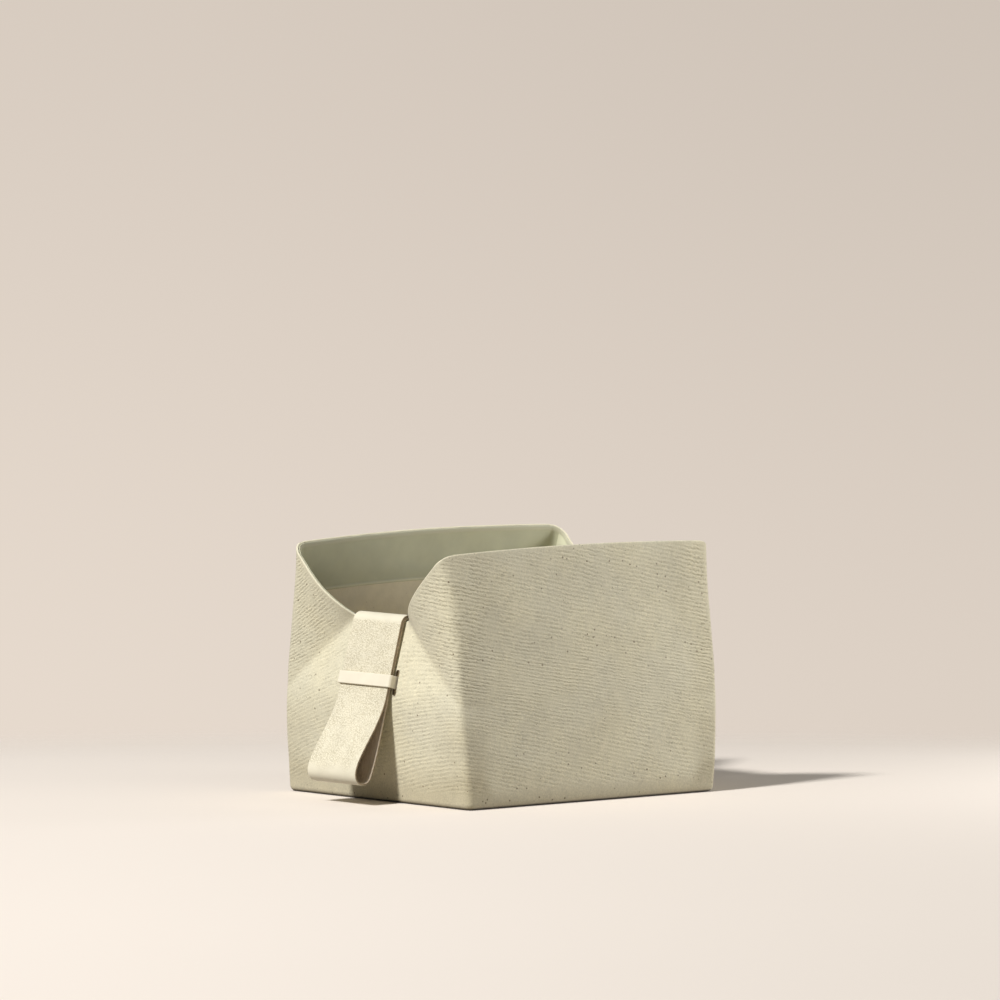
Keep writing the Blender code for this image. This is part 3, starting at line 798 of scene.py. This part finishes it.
def make_facing(index, cloth):
    """Sage facing: smooth cloth with a turned strip below the rim and a beaded hem."""
    word = WORDS[index]
    s = np.linspace(index + 0.5, index - 0.5, 141)
    top = rim_height(s) - RIM_EDGE
    low = hem_height(s)
    share = np.linspace(0.0, 1.0, 61)
    z = low[:, None] + (top - low)[:, None] * share
    across = np.tile(s[:, None], (1, z.shape[1]))
    drop = (rim_height(s)[:, None] - z)
    above_hem = z - low[:, None]
    strip = 1 - smoothstep((drop - 3.2) / 0.7)
    bead = np.exp(-((above_hem - 1.0) / 0.75) ** 2)
    groove = np.exp(-((above_hem - 2.3) / 0.5) ** 2)
    pucker = noise_at(np.stack([across * 100, z, 0 * z], axis=-1), 9.0, 5) * 0.35
    pucker = pucker * smoothstep(above_hem / 4.0) * smoothstep(drop / 8.0)
    lift = 0.22 * strip + 0.45 * bead - 0.08 * groove + pucker
    end_round = np.minimum(np.minimum(above_hem / 0.6, (top[:, None] - z) / 0.6), 1.0)
    lift = lift - 0.25 * (1 - end_round) ** 2
    depth = CANVAS + GAP + FACING + lift
    visible = cloth_point(across, z - BASE_EDGE_RADIUS, depth)
    coarse_s = s[::4]
    coarse_share = share[::6]
    coarse_z = low[::4, None] + (top - low)[::4, None] * coarse_share
    coarse_across = np.tile(coarse_s[:, None], (1, coarse_z.shape[1]))
    hidden = cloth_point(coarse_across, coarse_z - BASE_EDGE_RADIUS, CANVAS + GAP)
    facing = cloth_solid(f"{word}_facing", visible, hidden, [cloth])
    # Painted sunlight on the back facing alone.
    pale = np.full(z.shape, 1.0 if word == "back" else 0.0)
    add_grids(facing, drop=drop, strip=strip, bead=bead, pale=pale)
    place_piece(facing, "bin", "sage_facing", f"facing_{word}")
    return facing


def make_binding(index, tape, thread):
    """Tape over a corner seam inside, with a stitched line along each edge."""
    word = CORNERS[index]
    middle = index + 0.5
    s = np.linspace(middle + BINDING_REACH, middle - BINDING_REACH, 33)
    low = BASE_EDGE_RADIUS + BOARD + LINING
    top = hem_height(s) - 2 * GAP
    z = low + (top[:, None] - low) * np.linspace(0.0, 1.0, 81)
    across = np.tile(s[:, None], (1, z.shape[1]))
    side = np.abs(np.linspace(-1.0, 1.0, len(s)))[:, None] + 0 * z
    lift = 0.12 * np.exp(-((side - 0.97) / 0.05) ** 2) - 0.2 * smoothstep((side - 0.985) / 0.015)
    lift = lift + 0.25 * noise_at(np.stack([across * 100, z, 0 * z], axis=-1), 6.0, 6)
    visible = cloth_point(across, z - BASE_EDGE_RADIUS, CANVAS + GAP + BINDING + lift)
    hidden = cloth_point(across[::4, ::8], z[::4, ::8] - BASE_EDGE_RADIUS, CANVAS + GAP)
    piece = cloth_solid(f"{word}_binding", visible, hidden, [tape])
    place_piece(piece, "bin", "binding_tape", f"seam_binding_{word}")
    runs = []
    for column in (3, len(s) - 4):
        line = visible[column] - wall_normal(across[column], z[column] - BASE_EDGE_RADIUS) * 0.12
        runs += stitch_run(line, 3.2, 2.2)
    stitches = stitch_object(f"{word}_binding_stitches", runs, 0.22, thread)
    place_piece(stitches, "bin", "thread")
    return piece, stitches


# --- Stitches

def stitch_run(line, pitch, length):
    """Ends of stitches of a length, a pitch apart, along a line of points in millimetres."""
    line = np.asarray(line, float)
    steps = np.linalg.norm(np.diff(line, axis=0), axis=1)
    travel = np.concatenate([[0.0], np.cumsum(steps)])
    count = int(travel[-1] // pitch)
    starts = (travel[-1] - count * pitch) / 2 + pitch * np.arange(count) + (pitch - length) / 2
    ends = []
    for start in starts:
        marks = (start, start + length)
        ends.append(np.stack([np.interp(marks, travel, line[:, axis]) for axis in range(3)], axis=1))
    return ends


def stitch_object(name, runs, radius, thread):
    """Round-ended stitches, one for each pair of ends, as one piece."""
    sides = 8
    rings = ((0.0, 0.35), (0.08, 0.75), (0.22, 1.0), (0.5, 1.06), (0.78, 1.0), (0.92, 0.75), (1.0, 0.35))
    points, faces = [], []
    for start, end in runs:
        along = (end - start) / np.linalg.norm(end - start)
        aside = unit(np.cross(along, np.array([0.31, 0.53, 0.79])))
        other = np.cross(along, aside)
        base = len(points)
        for share, girth in rings:
            for k in range(sides):
                angle = 2 * math.pi * k / sides
                spread = aside * math.cos(angle) + other * math.sin(angle)
                points.append(start + (end - start) * share + spread * radius * girth)
        for ring in range(len(rings) - 1):
            for k in range(sides):
                near, far = base + ring * sides, base + (ring + 1) * sides
                j = (k + 1) % sides
                faces.append((near + k, near + j, far + j, far + k))
        faces.append(tuple(base + k for k in range(sides))[::-1])
        faces.append(tuple(base + (len(rings) - 1) * sides + k for k in range(sides)))
    return new_object(name, points, faces, [thread], sharp=80.0)


# --- Base

def plate_grid(half_x, half_y, radius, z, step, flip=False):
    """A grid over a plate with rounded corners, seen from above, or from below when flipped."""
    x, y = np.meshgrid(np.linspace(-half_x, half_x, int(2 * half_x / step) + 1),
                       np.linspace(-half_y, half_y, int(2 * half_y / step) + 1), indexing="ij")
    over_x = np.maximum(np.abs(x) - (half_x - radius), 0.0)
    over_y = np.maximum(np.abs(y) - (half_y - radius), 0.0)
    reach = np.maximum(np.hypot(over_x, over_y), 1e-9)
    pull = np.minimum(radius / reach, 1.0)
    x = np.sign(x) * (np.minimum(np.abs(x), half_x - radius) + over_x * pull)
    y = np.sign(y) * (np.minimum(np.abs(y), half_y - radius) + over_y * pull)
    places = np.stack([x, y, z + 0 * x], axis=-1)
    return places[::-1] if flip else places


def edge_distance(places, half_x, half_y):
    return np.minimum(half_x - np.abs(places[..., 0]), half_y - np.abs(places[..., 1]))


def make_base_lining(plain, thread):
    """Lining over the board: slightly quilted by its own stitched line round the edge."""
    half_x = BASE_HALF_X - CANVAS - 2 * GAP
    half_y = BASE_HALF_Y - CANVAS - 2 * GAP
    low = CANVAS + GAP + BOARD + GAP
    top = plate_grid(half_x, half_y, 3.5, low + LINING, 1.5)
    inset = edge_distance(top, half_x, half_y)
    stitched = np.exp(-((inset - STITCH_INSET) / 1.4) ** 2)
    top[..., 2] += 0.35 * noise_at(top, 30.0, 7) * smoothstep(inset / 10.0) - 0.3 * stitched
    top[..., 2] -= 0.35 * (1 - smoothstep(inset / 1.2))
    under = plate_grid(half_x, half_y, 3.5, low, 6.0)
    lining = cloth_solid("floor_lining", top, under, [plain])
    place_piece(lining, "bin", "canvas", "base_lining")
    line_x = half_x - STITCH_INSET
    line_y = half_y - STITCH_INSET
    height = low + LINING - 0.22
    corners = [(-line_x, -line_y), (line_x, -line_y), (line_x, line_y), (-line_x, line_y), (-line_x, -line_y)]
    runs = []
    for start, end in zip(corners, corners[1:]):
        runs += stitch_run([(*start, height), (*end, height)], 3.4, 2.4)
    stitches = stitch_object("floor_lining_stitches", runs, 0.24, thread)
    place_piece(stitches, "bin", "thread")
    return lining, stitches


def make_base_canvas(ribbed):
    """The outside of the base, in the same ribbed cloth."""
    half_x = BASE_HALF_X - BASE_EDGE_RADIUS - GAP
    half_y = BASE_HALF_Y - BASE_EDGE_RADIUS - GAP
    under = plate_grid(half_x, half_y, 1.0, 0.0, 1.3, flip=True)
    inset = edge_distance(under, half_x, half_y)
    phase = (under[..., 1] + 0.1 * under[..., 0] + 0.8 * noise_at(under, 20.0, 8)) / RIB_PITCH
    strength = 0.6 * smoothstep((inset - 4.0) / 5.0)
    top = plate_grid(half_x, half_y, 1.0, CANVAS, 6.0, flip=True)
    base = cloth_solid("base_canvas", under, top, [ribbed])
    # An even painted shade over the underside of the base.
    add_grids(base, rib_phase=phase, rib_strength=strength, soil=np.full(phase.shape, 0.3))
    place_piece(base, "bin", "canvas", "canvas_base")
    return base


# --- Strap, keeper and slots, in (y, z) at the front end

DOWN = np.array([-math.sin(STRAP_LEAN), -math.cos(STRAP_LEAN)])
OUT = np.array([-math.cos(STRAP_LEAN), math.sin(STRAP_LEAN)])
STRAP_THICKNESS = 2 * PLY + PLY_GAP


def strap_place(drop, out):
    """(y, z) at a drop below the keeper's centre and a distance out of the strap's outer face."""
    return np.array(KEEPER_CENTRE) + DOWN * drop + OUT * out


def arc(centre, radius, start, end, count):
    angles = np.linspace(start, end, count + 1)
    return np.stack([centre[0] + radius * np.cos(angles), centre[1] + radius * np.sin(angles)], axis=1)


def bezier(p0, p1, p2, p3, count):
    t = np.linspace(0.0, 1.0, count + 1)[:, None]
    return (1 - t) ** 3 * p0 + 3 * t * (1 - t) ** 2 * p1 + 3 * t ** 2 * (1 - t) * p2 + t ** 3 * p3


def upper_strap_path():
    """Middle of the double strip, from the hinge over the rim to its sewn end inside."""
    start = strap_place(HINGE_DROP, -STRAP_THICKNESS / 2)
    keeper = strap_place(-8.0, -STRAP_THICKNESS / 2)
    fold_y = start[0] + (FOLD_START_Z - start[1]) * math.tan(STRAP_LEAN)
    centre_out = np.array([fold_y, FOLD_START_Z]) - OUT * FOLD_RADIUS_OUT
    over = arc(centre_out, FOLD_RADIUS_OUT, math.pi - STRAP_LEAN, math.pi / 2, 14)
    centre_in = centre_out + np.array([0.0, FOLD_RADIUS_OUT - FOLD_RADIUS_IN])
    down = arc(centre_in, FOLD_RADIUS_IN, math.pi / 2, 0.0, 12)[1:]
    leave, tail_start, tail_end = down[-1], np.array(TAIL_START), np.array(TAIL_END)
    tail = (tail_end - tail_start) / np.linalg.norm(tail_end - tail_start)
    inside = bezier(leave, leave + np.array([0.0, -5.0]), tail_start - tail * 5, tail_start, 12)[1:]
    return np.concatenate([[start, keeper], over, down, inside, [tail_end]])


def loop_path():
    """Middle of the single strip, down the front of the loop, round and up its back."""
    front = strap_place(HINGE_DROP, -PLY / 2)
    back = strap_place(HINGE_DROP, -PLY * 1.5 - PLY_GAP)
    turn = arc(LOOP_ARC_CENTRE, LOOP_ARC_RADIUS, math.pi, 2 * math.pi + LOOP_BACK_ANGLE, 30)
    turn_out = np.array([-math.sin(LOOP_BACK_ANGLE), math.cos(LOOP_BACK_ANGLE)])
    above_turn = turn[0] + np.array([0.0, LOOP_FRONT_RISE])
    down = bezier(front, front + DOWN * LOOP_FRONT_REACH, above_turn, turn[0], 40)
    up = bezier(turn[-1], turn[-1] + turn_out * LOOP_BACK_REACH, back + DOWN * LOOP_BACK_REACH, back, 30)
    return np.concatenate([down, turn[1:], up[1:]])


def offset_path(path, distance):
    """A path moved sideways, to its left as it runs."""
    along = along_path(path)
    return path + distance * np.stack([-along[:, 1], along[:, 0]], axis=1)


def respaced(path, step):
    """The same path with points an even step apart."""
    travel = np.concatenate([[0.0], np.cumsum(np.linalg.norm(np.diff(path, axis=0), axis=1))])
    marks = np.linspace(0.0, travel[-1], int(travel[-1] / step) + 1)
    return np.stack([np.interp(marks, travel, path[:, axis]) for axis in range(path.shape[1])], axis=1)


def make_strap(leather):
    """The whole strip at the front: sewn end, outer ply, loop, inner ply and other sewn end."""
    upper = upper_strap_path()
    ply_shift = (PLY + PLY_GAP) / 2
    outer = offset_path(upper, ply_shift)[::-1]
    inner = offset_path(upper, -ply_shift)
    middle = respaced(np.concatenate([outer, loop_path()[1:-1], inner]), 0.8)
    path = np.stack([np.zeros(len(middle)), middle[:, 0], middle[:, 1]], axis=1)
    section = np.array(rounded_section(STRAP_HALF_WIDTH, PLY / 2, 0.38, 4, 32))
    strap = sweep("front_strap", path, section, leather, (1.0, 0.0, 0.0))
    travel = 0.8 * np.arange(len(path))
    across, through = section[:, 0], section[:, 1]
    shape = (len(path), len(section))
    skin = np.zeros((*shape, 3))
    skin[..., 0] = across * MM
    skin[..., 1] = travel[:, None] * MM
    skin[..., 2] = through * 2 * MM
    add_places(strap, "skin", skin)
    beyond = np.abs(across) - (STRAP_HALF_WIDTH - 0.38)
    edge = smoothstep((beyond - 0.20) / 0.14)
    add_values(strap, "cut_edge", np.tile(edge, (shape[0], 1)))
    flesh = smoothstep((-through - PLY / 2 + 0.22) / 0.18)
    add_values(strap, "flesh", np.tile(flesh, (shape[0], 1)))
    z, y = middle[:, 1], middle[:, 0]
    at_fold = smoothstep((z - FOLD_START_Z + 1.0) / 4.0)
    at_loop = smoothstep((30.0 - z) / 18.0) * (y < LOOP_ARC_CENTRE[0])
    add_values(strap, "smooth", np.tile(np.maximum(at_fold, at_loop)[:, None], (1, shape[1])))
    return strap


def give_skin(band, ring, section, half_a):
    """Leather values for a closed band: its places, its cut edges and its inner face."""
    shape = (len(ring), len(section))
    skin = np.zeros((*shape, 3))
    skin[..., 0] = section[:, 0] * MM
    skin[..., 1] = 0.5 * np.arange(len(ring))[:, None] * MM
    skin[..., 2] = section[:, 1] * 2 * MM
    add_places(band, "skin", skin)
    edge = smoothstep((np.abs(section[:, 0]) - half_a + 0.12) / 0.1)
    add_values(band, "cut_edge", np.tile(edge * 0.55, (shape[0], 1)))
    add_values(band, "flesh", np.zeros(shape))
    add_values(band, "smooth", np.ones(shape))


def make_keeper(leather):
    """Flat band round the strap, its two ends lapped and sewn inside the bin."""
    half_x = KEEPER_HALF_WIDTH - KEEPER_BAND / 2
    half_out = (KEEPER_OUT + KEEPER_IN - KEEPER_BAND) / 2
    ring = np.array(rounded_section(half_x, half_out, 1.3, 8))
    ring = respaced(np.concatenate([ring, ring[:1]]), 0.5)[:-1]
    centre = (KEEPER_OUT - KEEPER_IN) / 2
    section = np.array(rounded_section(KEEPER_HEIGHT / 2, KEEPER_BAND / 2, 0.42, 4, 10))
    lap_x = np.linspace(-LAP_HALF_LENGTH, LAP_HALF_LENGTH, 57)
    lap_section = np.array(rounded_section(KEEPER_HEIGHT / 2 - 0.1, LAP_PLY / 2, 0.4, 4, 10))
    lap_out = -half_out - (KEEPER_BAND + LAP_PLY) / 2 - 0.02
    pieces = []
    for name, line, outline, closed in (
            ("front_keeper", ring, section, True),
            ("front_keeper_lap", np.stack([lap_x, lap_out + 0 * lap_x], axis=1), lap_section, False)):
        place = np.array([strap_place(0.0, centre + out) for out in line[:, 1]])
        path = np.stack([line[:, 0], place[:, 0], place[:, 1]], axis=1)
        band = sweep(name, path, outline, leather, (0.0, -DOWN[0], -DOWN[1]), closed)
        give_skin(band, line, outline, outline[:, 0].max())
        pieces.append(band)
    return pieces


def keeper_stitches(thread):
    """Two short rows of thread through the keeper's lap."""
    runs = []
    out = -KEEPER_IN - LAP_PLY - 0.05
    for x_sign in (-1, 1):
        x = x_sign * (LAP_HALF_LENGTH - 1.6)
        line = [(x, *strap_place(drop, out)) for drop in (-3.4, 3.4)]
        runs += stitch_run(line, 1.7, 1.25)
    return stitch_object("front_keeper_stitches", runs, 0.24, thread)


def tail_stitches(thread):
    """A rectangle of thread that holds the strap's sewn ends inside."""
    top, bottom = np.array(TAIL_START), np.array(TAIL_END)
    along = unit(bottom - top)
    inward = np.array([-along[1], along[0]])
    lift = STRAP_THICKNESS / 2 + 0.12
    corners = []
    for x, drop in ((-STITCH_HALF_WIDTH, 1.2), (STITCH_HALF_WIDTH, 1.2),
                    (STITCH_HALF_WIDTH, 8.8), (-STITCH_HALF_WIDTH, 8.8)):
        corners.append(np.array([x, *(top + along * drop + inward * lift)]))
    runs = []
    for start, end in zip(corners, corners[1:] + corners[:1]):
        runs += stitch_run([start, end], 2.5, 1.8)
    return stitch_object("front_strap_stitches", runs, 0.3, thread)


def slot_outline(half_width, half_length, steps=10):
    """Across and drop of a slot's outline, a rectangle with round ends."""
    straight = half_length - half_width
    points = []
    for end in (1, -1):
        for k in range(steps + 1):
            angle = (0 if end == 1 else math.pi) + math.pi * k / steps
            points.append((half_width * math.cos(angle), end * straight + half_width * math.sin(angle)))
    return np.array(points)


def cut_slots(panel, y_sign):
    """Cut the keeper's two slots through an end panel."""
    for x_sign in (-1, 1):
        outline = slot_outline(SLOT_HALF_WIDTH, SLOT_HALF_LENGTH)
        points = []
        for out in (6.0, -SLOT_REACH):
            for dx, drop in outline:
                y, z = strap_place(drop, out)
                points.append((x_sign * SLOT_CENTRE_X + dx, -y_sign * y, z))
        count = len(outline)
        faces = [tuple(range(count)), tuple(range(count, 2 * count))[::-1]]
        for i in range(count):
            j = (i + 1) % count
            faces.append((j, i, i + count, j + count))
        cutter = new_object("slot_cutter", points, faces, list(panel.data.materials), [2] * len(faces))
        outward(cutter)
        cut = panel.modifiers.new("slot", "BOOLEAN")
        cut.operation = "DIFFERENCE"
        cut.solver = "MANIFOLD"
        cut.object = cutter
        apply_modifiers(panel)
        bpy.data.objects.remove(cutter, do_unlink=True)


def outward(obj):
    """Turn a closed mesh's faces outward."""
    build = bmesh.new()
    build.from_mesh(obj.data)
    bmesh.ops.recalc_face_normals(build, faces=build.faces)
    build.to_mesh(obj.data)
    build.free()


def apply_modifiers(obj):
    graph = bpy.context.evaluated_depsgraph_get()
    mesh = bpy.data.meshes.new_from_object(obj.evaluated_get(graph), preserve_all_data_layers=True,
                                           depsgraph=graph)
    obj.modifiers.clear()
    obj.data = mesh


def make_slot_lining(x_sign, leather):
    """Leather edge that lines one slot, from the outer face to the inner one."""
    inset = SLOT_EDGE / 2 + 0.02
    outline = slot_outline(SLOT_HALF_WIDTH - inset, SLOT_HALF_LENGTH - inset, 14)
    x = x_sign * SLOT_CENTRE_X + outline[:, 0]
    out = np.zeros((len(outline), 1))
    for _ in range(4):
        place = strap_place(outline[:, 1:], out)
        behind = place[:, :1] + end_wall_y(np.abs(x), place[:, 1])[:, None]
        out = out + behind / math.cos(STRAP_LEAN)
    place = strap_place(outline[:, 1:], out - CANVAS / 2)
    path = np.stack([x, place[:, 0], place[:, 1]], axis=1)
    section = np.array(rounded_section(CANVAS / 2 + 0.12, SLOT_EDGE / 2, 0.09, 3))
    side = "left" if x_sign < 0 else "right"
    return sweep(f"front_slot_edge_{side}", path, section, leather, (0.0, OUT[0], OUT[1]), closed=True)


def turned_copy(obj, name):
    """The same piece at the back end: turned half round about the bin's middle."""
    copy = obj.copy()
    copy.data = obj.data.copy()
    copy.data.transform(Matrix.Rotation(math.pi, 4, "Z"))
    copy.name = name
    bpy.context.scene.collection.objects.link(copy)
    return copy


def hang_straps(leather, keeper_leather, thread, slot_leather):
    """Strap, keeper, slot edges and stitches at both ends; all but the strap are put on the body that they
    move with.
    """
    strap = make_strap(leather)
    band, lap = make_keeper(keeper_leather)
    lap_thread = keeper_stitches(thread)
    tail_thread = tail_stitches(thread)
    edges = [make_slot_lining(x_sign, slot_leather) for x_sign in (-1, 1)]
    for word, y_sign in (("front", 1), ("back", -1)):
        made = [strap, band, lap, lap_thread, tail_thread, *edges]
        if word == "back":
            made = [turned_copy(piece, piece.name.replace("front", "back")) for piece in made]
        own_strap, own_band, own_lap, own_lap_thread, own_tail_thread, *own_edges = made
        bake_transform(own_strap)
        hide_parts(f"strap_{word}", f"strap_loop_{word}")
        place_piece(own_band, f"keeper_{word}", "keeper_leather", f"keeper_{word}")
        place_piece(own_lap, f"keeper_{word}", "keeper_leather")
        place_piece(own_lap_thread, f"keeper_{word}", "thread")
        place_piece(own_tail_thread, "bin", "thread", f"strap_stitching_{word}")
        for piece in own_edges:
            place_piece(piece, "bin", "keeper_leather")


# --- Floor, light and camera

FLOOR_COLOUR = (0.885, 0.80, 0.713)
BACKDROP_COLOUR = (0.722, 0.636, 0.557)


def make_floor():
    """A light-toned round floor with painted shade to the right, that fades into the backdrop behind the bin.
    """
    towards = Vector((math.sin(CAMERA_AZIMUTH), -math.cos(CAMERA_AZIMUTH), 0.0))
    centre = towards * FLOOR_SHIFT
    points = [(centre.x / MM, centre.y / MM, -FLOOR_DROP)]
    for k in range(FLOOR_SIDES):
        angle = 2 * math.pi * k / FLOOR_SIDES
        points.append(((centre.x + FLOOR_RADIUS * math.cos(angle)) / MM,
                       (centre.y + FLOOR_RADIUS * math.sin(angle)) / MM, -FLOOR_DROP))
    faces = [(0, 1 + k, 1 + (k + 1) % FLOOR_SIDES) for k in range(FLOOR_SIDES)]
    material, tree, shader = new_material("floor_paper", 0.9, specular=0.1)
    place = add_node(tree, "ShaderNodeTexCoord").outputs["Object"]
    right = (math.cos(CAMERA_AZIMUTH), math.sin(CAMERA_AZIMUTH), 0.0)
    aside = add_node(tree, "ShaderNodeVectorMath", {0: place, 1: right}, operation="DOT_PRODUCT")
    nearer = add_node(tree, "ShaderNodeVectorMath", {0: place, 1: tuple(towards)}, operation="DOT_PRODUCT")
    # Painted shade on the floor: darker to the right and towards the back, a little lighter towards the
    # camera.
    fade_right = remap(tree, aside.outputs["Value"], -0.45, 0.45, 1.06, 0.84)
    fade_back = compute(tree, "MULTIPLY", remap(tree, nearer.outputs["Value"], -0.45, 0.12, 0.80, 0.97),
                        remap(tree, nearer.outputs["Value"], 0.0, 0.9, 1.0, 1.07))
    shade = shade_of(tree, compute(tree, "MULTIPLY", fade_right, fade_back))
    seen = blend_colour(tree, 1.0, FLOOR_COLOUR, shade, "MULTIPLY")
    bounced = blend_colour(tree, 1.0, seen, (FLOOR_BOUNCE, FLOOR_BOUNCE, FLOOR_BOUNCE), "MULTIPLY")
    path = add_node(tree, "ShaderNodeLightPath")
    paper = blend_colour(tree, path.outputs["Is Diffuse Ray"], seen, bounced)
    tree.links.new(paper, shader.inputs["Base Color"])
    distance = add_node(tree, "ShaderNodeVectorMath", {0: place, 1: tuple(centre)}, operation="DISTANCE")
    share = remap(tree, distance.outputs["Value"], FLOOR_RADIUS, FLOOR_RADIUS - FLOOR_FADE)
    tree.links.new(share, shader.inputs["Alpha"])
    new_object("floor", points, faces, [material])


def backdrop_colour(tree, direction):
    """The backdrop is painted a little darker to the right and higher up, as shade."""
    right = (math.cos(CAMERA_AZIMUTH), math.sin(CAMERA_AZIMUTH), 0.0)
    aside = add_node(tree, "ShaderNodeVectorMath", {0: direction, 1: right}, operation="DOT_PRODUCT")
    height = add_node(tree, "ShaderNodeSeparateXYZ", {0: direction}).outputs["Z"]
    to_right = remap(tree, aside.outputs["Value"], -0.065, 0.065, 1.05, 0.945)
    upward = remap(tree, height, -0.10, 0.0, 1.06, 0.90)
    shade = shade_of(tree, compute(tree, "MULTIPLY", to_right, upward))
    return blend_colour(tree, 1.0, BACKDROP_COLOUR, shade, "MULTIPLY")


def make_world():
    """Even soft light, with a warm backdrop behind the bin."""
    world = bpy.data.worlds.new("studio")
    bpy.context.scene.world = world
    world.use_nodes = True
    tree = world.node_tree
    output = tree.nodes["World Output"]
    light = tree.nodes["Background"]
    light.inputs["Color"].default_value = (1.0, 1.0, 1.0, 1.0)
    direction = add_node(tree, "ShaderNodeTexCoord").outputs["Generated"]
    rise = add_node(tree, "ShaderNodeSeparateXYZ", {0: direction}).outputs["Z"]
    strength = compute(tree, "MULTIPLY_ADD", compute(tree, "MAXIMUM", rise, 0.0), SKY_RISE, SKY_LOW)
    tree.links.new(strength, light.inputs["Strength"])
    seen = add_node(tree, "ShaderNodeBackground", {"Color": backdrop_colour(tree, direction)})
    path = add_node(tree, "ShaderNodeLightPath")
    mix = add_node(tree, "ShaderNodeMixShader", {0: path.outputs["Is Camera Ray"], 1: light.outputs[0],
                                                 2: seen.outputs[0]})
    tree.links.new(mix.outputs[0], output.inputs["Surface"])


def aim(obj, place, target):
    obj.location = place
    obj.rotation_euler = (Vector(target) - Vector(place)).to_track_quat("-Z", "Y").to_euler()


def add_light(name, kind, place, target, **settings):
    lamp = bpy.data.lights.new(name, kind)
    for key, value in settings.items():
        setattr(lamp, key, value)
    obj = bpy.data.objects.new(name, lamp)
    bpy.context.scene.collection.objects.link(obj)
    aim(obj, place, target)


def make_lights():
    """A high key light from the front, and a low soft one from behind on the right."""
    add_light("key", "SUN", -Vector(SUN_TRAVEL), (0.0, 0.0, 0.0), energy=SUN_STRENGTH, angle=SUN_ANGLE)
    add_light("rear_fill", "AREA", REAR_PLACE, REAR_TARGET, energy=REAR_POWER, size=REAR_SIZE)


def make_camera():
    camera = bpy.data.cameras.new("camera")
    camera.lens = CAMERA_LENS
    camera.sensor_width = 36.0
    camera.clip_end = 50.0
    obj = bpy.data.objects.new("camera", camera)
    bpy.context.scene.collection.objects.link(obj)
    flat = math.cos(CAMERA_ELEVATION)
    back = Vector((math.sin(CAMERA_AZIMUTH) * flat, -math.cos(CAMERA_AZIMUTH) * flat,
                   math.sin(CAMERA_ELEVATION)))
    right = Vector((math.cos(CAMERA_AZIMUTH), math.sin(CAMERA_AZIMUTH), 0.0))
    up = back.cross(right)
    aim(obj, CAMERA_PIVOT + back * CAMERA_DISTANCE, CAMERA_PIVOT + up * AIM_UP + right * AIM_RIGHT)
    bpy.context.scene.camera = obj


# --- The bin

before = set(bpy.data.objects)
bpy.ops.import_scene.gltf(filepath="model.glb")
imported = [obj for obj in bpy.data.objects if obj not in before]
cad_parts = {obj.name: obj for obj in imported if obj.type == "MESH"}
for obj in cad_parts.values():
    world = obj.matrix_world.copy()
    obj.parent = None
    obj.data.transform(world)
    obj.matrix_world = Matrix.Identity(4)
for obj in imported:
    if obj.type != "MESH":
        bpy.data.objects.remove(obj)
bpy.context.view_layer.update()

bpy.context.scene.view_settings.view_transform = "Standard"
make_world()
make_lights()
make_camera()
make_floor()

ribbed_canvas = make_ribbed_canvas()
plain_canvas = make_plain_canvas()
sage_cloth = make_facing_cloth()
twill_tape = make_tape()
strap_leather = make_leather("strap_leather", STRAP_COLOUR, 0.95, 0.30, 0.55)
keeper_leather = make_leather("keeper_leather", KEEPER_COLOUR, 0.8, 0.08, 0.5)
slot_leather = make_slot_leather()
waxed_thread = make_thread()

for index in range(4):
    panel = make_panel(index, ribbed_canvas, plain_canvas, slot_leather)
    facing = make_facing(index, sage_cloth)
    binding, binding_thread = make_binding(index, twill_tape, waxed_thread)

lining, lining_thread = make_base_lining(plain_canvas, waxed_thread)
base = make_base_canvas(ribbed_canvas)
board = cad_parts["base_board"]
board.data.materials.clear()
board.data.materials.append(make_board())

hang_straps(strap_leather, keeper_leather, waxed_thread, slot_leather)
